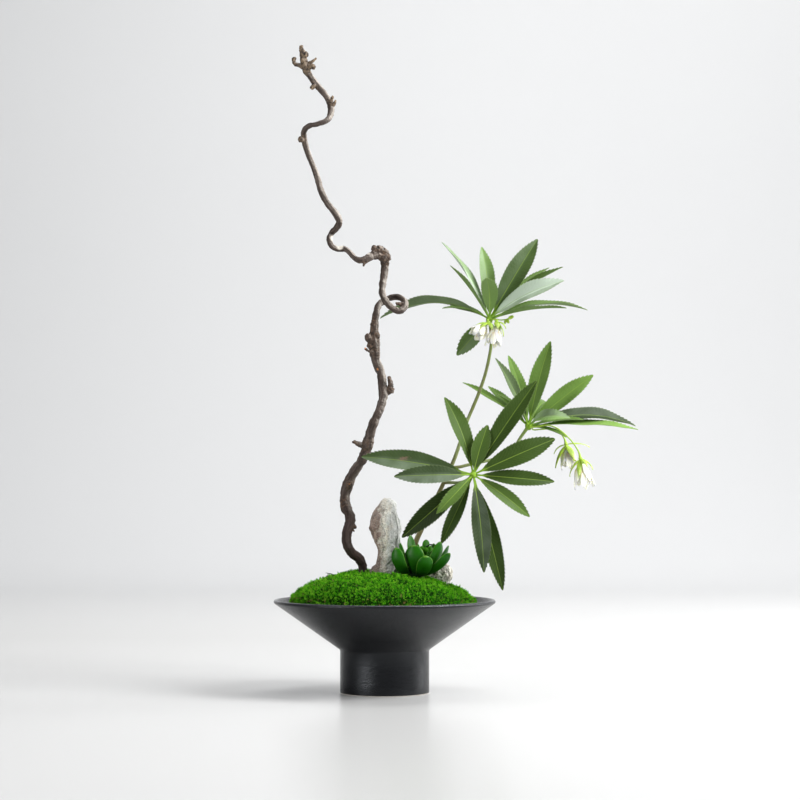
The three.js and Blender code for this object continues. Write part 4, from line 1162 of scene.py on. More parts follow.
# %% Stone finishes
def slate_grey(tree, surface):
    place = object_place(tree)
    spot = axes(tree, place)
    hollow = marked(tree, "hollow")
    upright = stretched(tree, place, 1, 1, 0.8)
    veins = remap(tree, cloud(tree, upright, 190.0, 6.0, 0.72), 0.3, 0.6)
    cool = blend(tree, veins, colour(0.84, 0.86, 0.84), colour(0.96, 0.97, 0.95))
    cream = blend(tree, veins, colour(0.66, 0.56, 0.42), colour(1.0, 0.97, 0.87))
    brown = blend(tree, veins, colour(0.075, 0.042, 0.032), colour(0.38, 0.27, 0.215))
    sway = product(tree, maths(tree, "SUBTRACT", cloud(tree, upright, 75.0, 4.0), 0.5), 0.028)
    across = maths(tree, "ADD", spot[0], sway)
    pale = blend(tree, remap(tree, across, 0.002, 0.008), cream, cool)
    # The left face is brown rock, and its darker tones are also painted shade, as that face turns from the
    # light
    left = remap(tree, across, -0.0075, -0.0035, 1.0, 0.0)
    seam_end = remap(tree, across, -0.0025, -0.001, 1.0, 0.0)
    seam = product(tree, remap(tree, across, -0.005, -0.0035), seam_end)
    sided = blend(tree, left, pale, brown)
    faced = blend(tree, product(tree, seam, 0.6), sided, colour(0.10, 0.07, 0.055))
    # Painted shade: darker towards the bottom, where the succulent and the moss shade the stone
    low = product(tree, remap(tree, spot[2], 0.138, 0.178, 1.0, 0.0), 0.6)
    foot_shaded = blend(tree, low, faced, colour(0.14, 0.11, 0.085))
    # Painted shade: the top is made greyer and darker, to tone down the light that falls on it
    crown = product(tree, remap(tree, spot[2], 0.196, 0.226), 0.42)
    crown_shaded = blend(tree, crown, foot_shaded, colour(0.42, 0.39, 0.34))
    dark = placed(tree, SPECKLES, Place=place, Scale=620.0, Share=0.36)
    dotted = blend(tree, product(tree, dark, 0.6), crown_shaded, colour(0.05, 0.045, 0.04))
    light = placed(tree, SPECKLES, Place=upright, Scale=900.0, Share=0.42)
    flecks = product(tree, light, remap(tree, left, 0.0, 1.0, 0.6, 0.25))
    flecked = blend(tree, flecks, dotted, colour(0.97, 0.97, 0.94))
    # Painted shade: the deepest hollows are darker, standing for the shade in them
    painted_light = blend(tree, remap(tree, hollow, 0.72, 1.0, 0.0, 0.25), flecked, colour(0.09, 0.06, 0.045))
    wire(tree, surface, Base_Color=painted_light)
    roughen(tree, surface, place, 600.0, 0.0006, 0.55)
    steady(surface, Roughness=0.82)


def granite(tree, surface):
    place = object_place(tree)
    hollow = marked(tree, "hollow")
    tone = remap(tree, cloud(tree, place, 160.0, 5.0, 0.7), 0.3, 0.7)
    ground = blend(tree, tone, colour(0.46, 0.43, 0.35), colour(0.96, 0.94, 0.87))
    dark = placed(tree, SPECKLES, Place=place, Scale=430.0, Share=0.38)
    rust = placed(tree, PATCHES, Place=place, Scale=210.0, Sharpness=0.8)
    stained = blend(tree, product(tree, rust, 0.3), ground, colour(0.34, 0.25, 0.15))
    dotted = blend(tree, product(tree, dark, 0.9), stained, colour(0.04, 0.035, 0.028))
    # Painted shade: the deepest pits are darker, standing for the shade in them
    pit_shaded = blend(tree, remap(tree, hollow, 0.55, 1.0, 0.0, 0.7), dotted, colour(0.05, 0.04, 0.03))
    wire(tree, surface, Base_Color=pit_shaded)
    roughen(tree, surface, place, 700.0, 0.0009, 0.9)
    steady(surface, Roughness=0.8)


SLATE_GREY = material_with("slate_grey", slate_grey)
GRANITE = material_with("granite", granite)

# %% Stones
def hollowed(piece, push):
    """Pushes a stone's skin, and marks how deep each place lies, from 0 to 1, for its finish."""
    depths = []

    def told(point, normal):
        shift = push(point, normal)
        depths.append(ease(-shift, -1.2, 1.8))
        return shift

    pushed(piece, told)
    keep_values(piece.data, "hollow", depths)
    return piece


slab = hollowed(remeshed(copied("standing_stone", "slab"), STONE_VOXEL, 1), slab_push)
dressed(coated(slab, SLATE_GREY), "grey_stone", "standing_stone")
boulder = hollowed(remeshed(copied("small_stone", "boulder"), STONE_VOXEL, 2), boulder_push)
dressed(coated(boulder, GRANITE), "pale_stone", "small_stone")

# %% [markdown]
# The succulent is a loose rosette. Its leaves are plump spoons: narrow and thick at the base, broad
# past the middle, slightly hollow on the inner face and thin along the rim. Each one is lofted from
# oval sections, which keeps the thickness that a bent plane would lose. A few slips and a curled thread
# fill its heart.

# %% Succulent places
SUCCULENT_ROOT = Vector((42, -8, 138))
# Reach from the root, half width, sag and turn in degrees of each leaf
SUCCULENT_LEAVES = [
    (-9, -15, 35, 11.5, 7, 18), (6, -27, 23, 9.5, 6, 0), (23, -14, 39, 8, 7, -22),
    (34, -20, 26, 7, 6, -30), (33, 4, 34, 6.5, 6, -30), (-24, 6, 37, 8, 6, 30), (-12, 10, 46, 7.5, 4, 0),
    (8, 31, 31, 8.5, 7, 0), (16, 20, 36, 7, 6, 0), (-22, 5, 13, 7, 3, 30), (16, -8, 12, 5.5, 3, -25),
]
LEFT_ROOT = SUCCULENT_ROOT - Vector((16, 0, 0))
LEFT_LEAVES = [(-13, -16, 32, 8, 8, 22)]
HEART = SUCCULENT_ROOT + Vector((4, 4, 22))
HEART_LEAVES = [
    (3, 8, 19, 4.6, 2, 0), (-7, 2, 14, 3.4, 2, 40), (-3, -7, 12, 3.2, 2, 0), (9, -3, 12, 3.4, 2, -40),
    (3, -9, 10, 3.0, 2, 0), (-5, 6, 10, 3.0, 2, 30),
]
# The stem that goes down into the foam, and a thread that curls out of the heart: x, y, z and radius
SUCCULENT_FOOT = [(42, -8, 60, 4), (42, -8, 136, 4), (42, -8, 142, 4), (*HEART, 3)]
HEART_CURL = [(*HEART, 0.9), (48.5, -8, 169.5, 0.9), (52, -10, 173, 0.8), (55, -11, 173.5, 0.7),
              (56, -11, 171.5, 0.6), (54.8, -11, 170.3, 0.45)]
# Added to a young leaf's tone, which is otherwise from 0 to 1
HEART_TONE = 1.6
HEART_SLIPS = 7
SLIP_SEED = 4
SPOON_SIDES = 20
SPOON_STEPS = 18
# Thickness as a share of the half width, and the most it may be
SPOON_THICKNESS = 0.3
SPOON_MOST = 2.9
# Where a leaf is widest, as a share of its length
SPOON_WIDEST = 0.72
SLIP_REACH = 5.5
print("leaves:", len(SUCCULENT_LEAVES + LEFT_LEAVES + HEART_LEAVES) + HEART_SLIPS)

# %% Succulent leaf
def spoon_share(u):
    """Share of the half width at a share of the length: a broad base, a wide shoulder and a round end."""
    if u < SPOON_WIDEST:
        return 0.62 + 0.38 * math.sin(math.pi / 2 * u / SPOON_WIDEST)
    return max(0.0, 1 - ((u - SPOON_WIDEST) / 0.285) ** 2) ** 0.6


def spoon(skin, root, reach, half, sag, turn, tone):
    """Adds one plump leaf, turned about its own length, with a hollow inner face."""
    along = reach.normalized()
    side = Vector((0, 0, 1)).cross(reach).normalized()
    side.rotate(Quaternion(along, math.radians(turn)))
    face = along.cross(side)
    thick = min(SPOON_MOST, half * SPOON_THICKNESS)
    rings, marks = [], []
    for step in range(SPOON_STEPS + 1):
        u = 1.0 - (1.0 - step / SPOON_STEPS) ** 1.35
        share = max(0.09, spoon_share(u))
        sway = 0.35 * noise.noise(Vector((u * 3, tone * 20, half)))
        middle = root + reach * u + face * (-4 * sag * u * (1 - u)) + side * sway * u * 2
        ring, told = [], []
        for k in range(SPOON_SIDES):
            angle = 2 * math.pi * k / SPOON_SIDES
            c = math.cos(angle)
            bulge = thick * max(share, 0.5) * math.sin(angle)
            if bulge > 0:
                bulge = 0.52 * bulge - 0.38 * thick * math.cos(math.pi / 2 * c) ** 2 * math.sin(math.pi * u)
            cup = 0.16 * half * c * c * share
            ring.append(middle + side * (c * half * share) + face * (bulge + cup))
            told.append(Vector((c, u, tone)))
        rings.append(ring)
        marks.append(told)
    skin.loft(rings, marks={"flesh": marks})


print("half width of a leaf, in quarters:", [round(spoon_share(quarter / 4), 2) for quarter in range(5)])


# %% Succulent shape
def rosette():
    """Every leaf of the succulent, its foot and its curled thread."""
    draw = random.Random(SLIP_SEED)
    skin = Skin()
    crowns = (SUCCULENT_ROOT, SUCCULENT_LEAVES), (LEFT_ROOT, LEFT_LEAVES), (HEART, HEART_LEAVES)
    for root, leaves in crowns:
        fresh = HEART_TONE if leaves is HEART_LEAVES else 0.0
        for x, y, z, half, sag, turn in leaves:
            spoon(skin, root, Vector((x, y, z)), half, sag, turn, fresh + draw.random())
    for number in range(HEART_SLIPS):
        angle = GOLDEN_TURN * number
        reach = Vector((SLIP_REACH * math.cos(angle), SLIP_REACH * math.sin(angle), draw.uniform(8, 14)))
        spoon(skin, HEART - Vector((0, 0, 2)), reach, 1.9, 0.6, 0, HEART_TONE + draw.random())
    halfway = (LEFT_ROOT + SUCCULENT_ROOT) / 2
    swept(skin, SUCCULENT_FOOT, sides=14, steps=4, swell=0.1)
    swept(skin, [(*LEFT_ROOT, 3), (*halfway, 4.5), (*SUCCULENT_ROOT, 5)], sides=14, steps=4, swell=0.1)
    swept(skin, HEART_CURL, sides=8, steps=4)
    return skin


ROSETTE = rosette()
print("points of the rosette:", len(ROSETTE.points))


# %% Succulent finish
def succulent_skin(tree, surface):
    place = object_place(tree)
    flesh = marked(tree, "flesh", "Vector")
    across, along, tone = axes(tree, flesh)
    # Painted shade: grown leaves are darker towards their bases, where they crowd together, and lit towards
    # their ends
    deep = blend(tree, tone, colour(0.003, 0.028, 0.0015), colour(0.009, 0.068, 0.003))
    lit = blend(tree, tone, colour(0.011, 0.125, 0.001), colour(0.034, 0.225, 0.003))
    grown_up = blend(tree, remap(tree, along, 0.05, 0.85), deep, lit)
    young = blend(tree, along, colour(0.02, 0.17, 0.004), colour(0.11, 0.46, 0.02))
    body = blend(tree, remap(tree, tone, 1.2, 2.2), grown_up, young)
    mottled = blend(tree, product(tree, cloud(tree, place, 330.0, 4.0), 0.35), body, deep)
    # A paler margin, partly the leaf's own colour and partly a painted highlight along its edge
    rim = remap(tree, maths(tree, "ABSOLUTE", across), 0.93, 1.0)
    rim = maths(tree, "MAXIMUM", rim, remap(tree, along, 0.965, 1.0))
    margin_and_highlight = product(tree, rim, remap(tree, along, 0.15, 0.5, 0.0, 0.55))
    wire(tree, surface, Base_Color=blend(tree, margin_and_highlight, mottled, colour(0.20, 0.42, 0.05)))
    roughen(tree, surface, place, 420.0, 0.00018, 0.4)
    steady(surface, Roughness=0.4, Specular_IOR_Level=0.22,
           Subsurface_Weight=0.12, Subsurface_Radius=(0.002, 0.003, 0.001))


SUCCULENT_SKIN = material_with("succulent_skin", succulent_skin)

# %% Succulent rosette
dressed(ROSETTE.piece("succulent_rosette", [SUCCULENT_SKIN]), "succulent", "succulent")

# %% [markdown]
# The hellebore's stems are round and a little knobbly, brown near the moss and green towards the
# whorls. Geometry Nodes sweep a circle along each path, with a radius kept on every point. The same
# tree could draw the flower stalks, but those belong to the blossoms and are swept with them.

# %% Stem paths
TOP_HUB, RIGHT_HUB, FRONT_HUB = Vector((124, 8, 439)), Vector((171, 30, 313)), Vector((103, -28, 255))
MAIN_STEM = [
    (32, 16, 64, 3.2), (32, 16, 112, 3.2), (32.5, 16, 140, 3.2), (36, 17, 172, 3.1), (43, 18, 190, 3),
    (55, 19, 215, 2.7), (68, 20, 242, 2.5), (82, 20, 273, 2.3), (89, 20, 293, 2.1), (97, 20, 317, 2),
    (104, 19, 334, 2), (111, 18, 351, 2), (118, 16, 371, 1.9), (123, 14, 391, 1.9), (126, 12, 410, 1.8),
    (125.5, 10, 424, 1.8), (*TOP_HUB, 2.2),
]
RIGHT_STEM = [
    (78, 20, 264, 2), (88, 21, 264.5, 1.9), (99, 22, 267, 1.9), (126, 24, 273, 1.8), (140, 26, 277, 1.8),
    (152, 27.5, 285, 1.8), (161, 29, 299, 1.8), (*RIGHT_HUB, 2.2),
]
FRONT_STEM = [
    (70, 20, 246, 2), (78, 14, 246, 1.9), (88, 0, 246, 1.8), (97, -14, 249.5, 1.8), (*FRONT_HUB, 2.2),
]
STEM_SIDES = 16
STEM_STEPS = 12
STEM_KNOBS = 0.24
# The side stems start this far along the change from brown to green
SIDE_STEM_YOUTH = 0.5
print("stem stops:", len(MAIN_STEM) + len(RIGHT_STEM) + len(FRONT_STEM))

# %% Stem tubes
def path_lines(runs, steps):
    """Chains of edges along several paths, with a radius and a share of the length on every point."""
    points, edges, radii, shares = [], [], [], []
    for stops in runs:
        first, places = len(points), smooth_path(stops, steps)
        points += [place[0] * MM for place in places]
        edges += [(first + i, first + i + 1) for i in range(len(places) - 1)]
        radii += [place[4] * MM for place in places]
        young = SIDE_STEM_YOUTH if first else 0.0
        shares += [young + (1 - young) * place[5] / places[-1][5] for place in places]
    mesh = bpy.data.meshes.new("paths")
    mesh.from_pydata(points, edges, [])
    keep_values(mesh, "thickness", radii)
    keep_values(mesh, "climb", shares)
    return link(bpy.data.objects.new("paths", mesh))


def stem_tree():
    """Sweeps a circle along the paths and makes the tubes a little knobbly."""
    group, given, told = geometry_group("stems", ("Sides", INTEGER, STEM_SIDES), ("Knobs", FLOAT, 0.0))
    line = add(group, "GeometryNodeMeshToCurve", {"Mesh": given["Geometry"]}).outputs[0]
    unit_circle = {"Resolution": given["Sides"], "Radius": 1.0}
    circle = add(group, "GeometryNodeCurvePrimitiveCircle", unit_circle).outputs[0]
    thickness = add(group, "GeometryNodeInputNamedAttribute", {"Name": "thickness"}, data_type="FLOAT")
    parts = {"Curve": line, "Profile Curve": circle, "Scale": thickness.outputs[0], "Fill Caps": True}
    tube = add(group, "GeometryNodeCurveToMesh", parts).outputs[0]
    place = add(group, "GeometryNodeInputPosition").outputs[0]
    bumps = maths(group, "SUBTRACT", cloud(group, place, 260.0), 0.5)
    outwards = add(group, "GeometryNodeInputNormal").outputs[0]
    push = {0: outwards, "Scale": product(group, bumps, given["Knobs"])}
    shift = add(group, "ShaderNodeVectorMath", push, operation="SCALE").outputs[0]
    knobbly = add(group, "GeometryNodeSetPosition", {"Geometry": tube, "Offset": shift}).outputs[0]
    close_tree(group, knobbly, given, told)
    return group


print("points along the main stem:", len(smooth_path(MAIN_STEM, STEM_STEPS)))


# %% Stem finish
def stem_skin(tree, surface):
    place = object_place(tree)
    height = axes(tree, place)[2]
    climb = marked(tree, "climb")
    fibres = cloud(tree, stretched(tree, place, 1, 1, 0.25), 900.0, 4.0)
    brown = blend(tree, fibres, colour(0.07, 0.052, 0.014), colour(0.24, 0.21, 0.07))
    green = blend(tree, fibres, colour(0.09, 0.115, 0.028), colour(0.22, 0.27, 0.075))
    lime = blend(tree, fibres, colour(0.14, 0.24, 0.03), colour(0.30, 0.43, 0.08))
    sage = blend(tree, fibres, colour(0.15, 0.20, 0.06), colour(0.36, 0.44, 0.18))
    main = blend(tree, remap(tree, height, 0.20, 0.36), brown, green)
    under_hub = remap(tree, height, 0.318, 0.332, 1.0, 0.0)
    side = product(tree, remap(tree, climb, 0.52, 0.62), under_hub)
    tall = blend(tree, side, main, sage)
    fresh = blend(tree, remap(tree, climb, 0.86, 1.0), tall, lime)
    freckles = product(tree, placed(tree, SPECKLES, Place=place, Scale=480.0, Share=0.34), 0.55)
    wire(tree, surface, Base_Color=blend(tree, freckles, fresh, colour(0.07, 0.035, 0.02)))
    roughen(tree, surface, place, 900.0, 0.0003, 0.5)
    steady(surface, Roughness=0.55)


STEM_SKIN = material_with("stem_skin", stem_skin)

# %% Stems
stem_facts = {"Sides": STEM_SIDES, "Knobs": 2 * STEM_KNOBS * MM, "Material": STEM_SKIN}
stem_lines = path_lines((MAIN_STEM, RIGHT_STEM, FRONT_STEM), STEM_STEPS)
stems = grown("stems", stem_lines, stem_tree(), stem_facts)
turn_outwards(stems.data)
stems.data.shade_smooth()
dressed(stems, "stem", "hellebore_stem")

# %% [markdown]
# A hellebore leaf is a whorl of lance-shaped leaflets. Each has fine teeth that point forwards, a sunk
# pale midrib above and a raised one below. They are lofted from sections along the arched midrib, three
# to a tooth. A picture of a leaf on a plane would be lighter, but the fold and the toothed edge are
# what make the leaf.

# %% Leaflet places
# Each leaflet: its tip from the hub (x, y, z), full width, arch, turn in degrees, and tone from 0 to 1
WHORLS = {
    "leaves_top": (TOP_HUB, Vector((0.05, -0.12, 1)), [
        (-130, 37, 4, 27, 22, 25, 0.12), (-55, 48, 17, 18, 6, -15, 0.8), (-56, 30, 95, 22, 5, 10, 0.6),
        (-47, -18, 62, 18, 3, 0, 0.45), (-8, 35, 90, 20, 4, 0, 0.7), (-6, -60, 43, 22, 7, 0, 0.66),
        (58, 15, 97, 28, 6, 50, 0.18), (74, 45, 66, 20, 4, 0, 0.45), (86, -12, 61, 24, 5, 15, 0.3),
        (85, -40, 42, 29, 8, 52, 0.3), (117, 12, 12, 24, 12, 8, 0.42), (88, -40, 10, 18, 5, -10, 0.45),
        (-39, -5, -43, 22, 4, -70, 0.35), (10, 78, 42, 22, 12, 0, 0.4), (58, 78, 36, 24, 12, 0, 0.4),
    ]),
    "leaves_right": (RIGHT_HUB, Vector((0.12, -0.35, 0.93)), [
        (-78, 15, 53, 14, 4, -10, 0.7), (-46, 48, 50, 14, 4, -20, 0.8), (-39, 10, 82, 20, 3, 0, 0.2),
        (-22, 40, 87, 18, 4, 0, 0.65), (-39, -16, 38, 15, 6, 0, 0.3), (27, 5, 102, 24, 4, 0, 0.55),
        (77, -5, 61, 24, 5, 45, 0.72), (131, 30, 1, 26, 16, 17, 0.0), (46, -45, 8, 20, 10, 38, 1.0),
        (63, -26, 7, 16, 3, 0, 0.8), (130, -5, -4, 20, 5, 4, 1.0), (43, -28, -14, 14, 3, 0, 0.8),
        (28, 68, 30, 22, 12, 0, 0.5),
    ]),
    "leaves_front": (FRONT_HUB, Vector((0.08, -0.96, 0.27)), [
        (-33, 18, 91, 25, 8, 20, 0.25), (17, 2, 58, 22, 4, 0, 0.26), (75, 10, 110, 27, 6, -20, 0.13),
        (96, 8, 42, 29, 8, 0, 0.15), (95, 6, -8, 21, 6, 0, 0.14), (66, 4, -49, 19, 5, 0, 0.4),
        (35, 16, -135, 24, 8, 0, 0.1), (12, -12, -113, 24, 8, 0, 0.0), (-37, 23, -81, 18, 5, 0, 0.25),
        (-43, -18, -45, 17, 6, 0, 0.42), (-83, 4, -73, 26, 8, 0, 0.0), (-92, -16, -2, 24, 6, 0, 0.05),
        (-130, 16, 21, 28, 8, 5, 0.12),
    ]),
}
# Leaflets with a painted greyish sheen, standing for the glare of light on their glossy faces, by their
# place in the list, and how strong it is
PAINTED_SHEENS = {
    "leaves_top": {0: 0.12, 2: 1.2, 4: 0.3, 6: 0.1, 9: 2.4, 12: 0.15},
    "leaves_right": {2: 0.12, 7: 0.1, 8: 0.5},
    "leaves_front": {7: 0.12, 11: 0.22, 12: 0.2},
}
# The middle of a small brown bruise on the leaflet that reaches farthest left, and how it is drawn out
BLEMISH = FRONT_HUB + Vector((-130, 16, 21)) * 0.62 + Vector((0, -7, 6))
BLEMISH_SHAPE = Vector((0.5, 1.0, 1.3))
LEAF_COLUMNS = (-1.0, -0.9, -0.66, -0.38, -0.13, 0.0, 0.13, 0.38, 0.66, 0.9, 1.0)
LEAF_WIDEST = (0.85, 0.8)
LEAF_FOLD = 17.0
LEAF_TWIST = 9
LEAF_SWAY = 1.5
LEAF_SEED = 21
PETIOLE_SHARE = 0.09
PETIOLE_HALF = 1.15
BLADE_HALF = 0.3
EDGE_HALF = 0.16
TOOTH_PITCH = 4.7
TOOTH_DEPTH = 1.2
TOOTH_LEAN = 1.1
TEETH_START, TEETH_END = 0.125, 0.985
PETIOLE_STATIONS = (0.02, 0.05, 0.08, 0.105)
# Places within a tooth, and how far out its edge stands there
TOOTH_STEPS = ((0.04, 0.0), (0.5, 0.5), (0.96, 1.0))
EDGE_WAVE = 0.75
WAVE_LENGTH = 8.5
GROOVE = 0.45
RIB = 0.75
print("leaflets:", {name: len(parts[2]) for name, parts in WHORLS.items()})

# %% Leaflet sections
def lance(share):
    """Share of the full width at a share of the length, as the packed leaflets have it."""
    if share <= PETIOLE_SHARE or share >= 1:
        return 0.0
    v = (share - PETIOLE_SHARE) / (1 - PETIOLE_SHARE)
    a, b = LEAF_WIDEST
    peak = a / (a + b)
    return v**a * (1 - v) ** b / (peak**a * (1 - peak) ** b)


def leaf_stations(length):
    """Shares of the length, and how far out the edge stands at each, from 0 in a notch to 1 on a tooth."""
    count = max(8, round((1 - PETIOLE_SHARE) * length / TOOTH_PITCH))
    pitch = (TEETH_END - TEETH_START) / count
    stations = [(share, 1.0) for share in PETIOLE_STATIONS]
    for tooth in range(count):
        stations += [(TEETH_START + pitch * (tooth + step), saw) for step, saw in TOOTH_STEPS]
    return stations + [(0.992, 1.0), (1.0, 1.0)]


print("sections of a long leaflet:", len(leaf_stations(130)))


# %% Leaflet
def leaflet(skin, hub, axis, facts, number, painted_sheen):
    """Adds one folded, arched and toothed leaflet, its petiole included, from the hub to its tip."""
    x, y, z, width, arch, turn, tone = facts
    draw = random.Random(LEAF_SEED + number)
    reach = Vector((x, y, z))
    length, along = reach.length, reach.normalized()
    side = along.cross(axis).normalized()
    side.rotate(Quaternion(along, math.radians(turn)))
    face = side.cross(along)
    twist, sway = draw.uniform(-LEAF_TWIST, LEAF_TWIST), draw.uniform(-LEAF_SWAY, LEAF_SWAY)
    phase = draw.uniform(0, 6)
    fold = math.radians(LEAF_FOLD)
    rings, lamina, shares = [], [], []
    for share, saw in leaf_stations(length):
        middle = hub + reach * share + face * (4 * arch * share * (1 - share))
        middle += side * (sway * math.sin(math.pi * share))
        spin = Quaternion(along, math.radians(twist * (share - 0.5)))
        out, up = spin @ side, spin @ face
        stalk = 1 - ease(share, 0.07, 0.17)
        body = width / 2 * lance(share)
        notch = TOOTH_DEPTH * (1 - saw) * min(1.0, body / 5)
        half = max(PETIOLE_HALF * (0.25 + 0.75 * stalk) * min(1.0, 12 * (1.005 - share)), body - notch)
        top, under = [], []
        for c in LEAF_COLUMNS:
            edge = abs(c)
            ripple = math.sin(share * length / WAVE_LENGTH + phase + (1.3 if c > 0 else 0))
            wave = EDGE_WAVE * ripple * min(1.0, body / 8)
            lift = half * math.sin(fold) * edge**1.25 + wave * edge**2
            ahead = TOOTH_LEAN * saw * edge**8 * min(1.0, body / 5)
            at = middle + out * (c * half * math.cos(fold)) + up * lift + along * ahead
            flat = BLADE_HALF + (EDGE_HALF - BLADE_HALF) * edge**3
            near_rib = max(0.0, 1 - edge * half / 1.6)
            above = flat - GROOVE * near_rib * (1 - share) * (1 - stalk)
            below = flat + RIB * near_rib * (1 - 0.8 * share) * (1 - stalk)
            round_one = 0.95 * math.sqrt(max(0.0, 1 - c * c)) + 0.08
            top.append(at + up * (above + (round_one - above) * stalk))
            under.append(at - up * (below + (round_one - below) * stalk))
        rings.append(top + under[::-1])
        columns = LEAF_COLUMNS + LEAF_COLUMNS[::-1]
        lamina.append([Vector((c * half, share * length, tone)) for c in columns])
        shares.append([Vector((c, share, painted_sheen)) for c in columns])
    top_side = (*range(len(LEAF_COLUMNS)), 2 * len(LEAF_COLUMNS) - 1)
    marks = {"lamina": lamina, "lamina_share": shares}
    skin.loft(rings, lambda column: 0 if column in top_side else 1, marks)


print("points round a leaflet:", 2 * len(LEAF_COLUMNS))

# %% Leaf hub
HUB_SIDES = 18
# Height and radius of each ring, from below the hub's middle to above it
HUB_RINGS = ((-4.3, 1.6), (-3.2, 3.0), (-1.2, 4.0), (1.0, 4.1), (3.0, 3.1), (4.4, 1.4))


def hub_lump(skin, hub, axis):
    """Adds the swollen, uneven node where the petioles meet."""
    up = axis.normalized()
    side = up.orthogonal().normalized()
    other = up.cross(side)
    rings = []
    for height, radius in HUB_RINGS:
        ring = oval(hub + up * height, side, radius, other, radius, HUB_SIDES)
        bumps = [(point - hub).normalized() * noise.noise(point / 1.9) * 1.3 for point in ring]
        rings.append([point + bump for point, bump in zip(ring, bumps)])
    toned, bare = ([[Vector((0, 0, value))] * HUB_SIDES for ring in rings] for value in (0.5, 0.0))
    skin.loft(rings, marks={"lamina": toned, "lamina_share": bare})


print("height of a hub in mm:", HUB_RINGS[-1][0] - HUB_RINGS[0][0])


# %% Leaf finishes
def leaf_finish(top):
    """The finish of one face of a leaflet. The upper one is darker and glossier, with a sunk midrib."""

    def build(tree, surface):
        place = object_place(tree)
        lamina = marked(tree, "lamina", "Vector")
        across, along, tone = axes(tree, lamina)
        side_share, length_share, painted_sheen = axes(tree, marked(tree, "lamina_share", "Vector"))
        off = maths(tree, "ABSOLUTE", across)
        fleck = cloud(tree, place, 900.0, 4.0, 0.6)
        broad = placed(tree, PATCHES, Place=place, Scale=55.0, Sharpness=0.2)
        deep = blend(tree, tone, colour(0.009, 0.020, 0.002), colour(0.145, 0.27, 0.045))
        lit = blend(tree, tone, colour(0.020, 0.042, 0.004), colour(0.235, 0.40, 0.09))
        body = blend(tree, product(tree, maths(tree, "ADD", fleck, broad), 0.5), deep, lit)
        wander = product(tree, cloud(tree, lamina, 0.35, 2.0), 2.4)
        slant = maths(tree, "SUBTRACT", along, product(tree, off, 1.15))
        vein = maths(tree, "PINGPONG", maths(tree, "ADD", slant, wander), TOOTH_PITCH / 2)
        veins = remap(tree, vein, 0.0, 0.42, 1.0, 0.0)
        # Painted sheen: a greyish haze, strongest on one half of the blade, stands for glare on the glossy
        # leaf
        sheen_haze = remap(tree, cloud(tree, lamina, 0.045, 1.0), 0.35, 0.6, 0.6, 1.0)
        sheen_side = product(tree, sheen_haze, remap(tree, side_share, -0.15, 0.35, 1.0, 0.25))
        sheened = blend(tree, product(tree, painted_sheen, sheen_side), body, colour(0.54, 0.65, 0.52))
        veined = blend(tree, product(tree, veins, 0.13), sheened, colour(0.16, 0.25, 0.06))
        width = remap(tree, length_share, 0.1, 1.0, 0.5 if top else 0.8, 0.14)
        rib = remap(tree, maths(tree, "DIVIDE", off, width), 0.6, 1.15, 1.0, 0.0)
        ribbed = blend(tree, product(tree, rib, 0.75), veined, colour(0.26, 0.39, 0.06))
        # Painted highlight: a paler line along the toothed edge stands for the light caught by the teeth
        rim = product(tree, remap(tree, maths(tree, "ABSOLUTE", side_share), 0.95, 1.0), 0.5)
        edge_highlit = blend(tree, rim, ribbed, colour(0.30, 0.38, 0.17))
        young = remap(tree, length_share, 0.09, 0.18, 0.85, 0.0)
        lime = blend(tree, fleck, colour(0.06, 0.16, 0.006), colour(0.38, 0.62, 0.05))
        limed = blend(tree, young, edge_highlit, lime)
        pale = blend(tree, 0.0 if top else 0.25, limed, colour(0.25, 0.35, 0.17))
        centred = {0: place, "Location": -BLEMISH * MM * BLEMISH_SHAPE, "Scale": BLEMISH_SHAPE}
        around = add(tree, "ShaderNodeMapping", centred).outputs[0]
        away = add(tree, "ShaderNodeVectorMath", {0: around}, operation="LENGTH").outputs[1]
        ragged = maths(tree, "ADD", away, product(tree, cloud(tree, place, 420.0, 5.0, 0.75), 0.014))
        bruise = remap(tree, ragged, 0.0085, 0.0105, 0.7, 0.0)
        wire(tree, surface, Base_Color=blend(tree, bruise, pale, colour(0.24, 0.15, 0.11)))
        height = maths(tree, "ADD", product(tree, veins, -0.5 if top else 0.6), fleck)
        wire(tree, surface, Normal=bumped(tree, height, 0.00035, 0.55))
        wire(tree, surface, Roughness=remap(tree, fleck, 0.2, 0.8, 0.40, 0.52))
        steady(surface, Specular_IOR_Level=0.13 if top else 0.08)

    return build


LEAF_FACES = {"leaf_upper": True, "leaf_under": False}
LEAF_FINISHES = [material_with(name, leaf_finish(top)) for name, top in LEAF_FACES.items()]


# %% Leaf whorls
def whorl(name, hub, axis, leaflets):
    """One whorl as a piece. Edges sharper than 50 degrees stay crisp."""
    skin = Skin()
    hub_lump(skin, hub, axis)
    for number, facts in enumerate(leaflets):
        leaflet(skin, hub, axis, facts, number, PAINTED_SHEENS[name].get(number, 0.0))
    piece = skin.piece(f"{name}_blades", LEAF_FINISHES)
    piece.data.set_sharp_from_angle(angle=math.radians(50))
    return dressed(piece, "leaf", name)


for name, (hub, axis, leaflets) in WHORLS.items():
    whorl(name, hub, axis, leaflets)

# %% [markdown]
# The blossoms nod under the whorls. Eight white petals overlap eight inner ones in a loose bell, and
# narrow pale sepals curl away above them. Thin stamens and threads hang between. Each petal and sepal
# is a thin cupped blade, drawn by one function with its own outline, and each stalk is a tube that
# swells at its end.

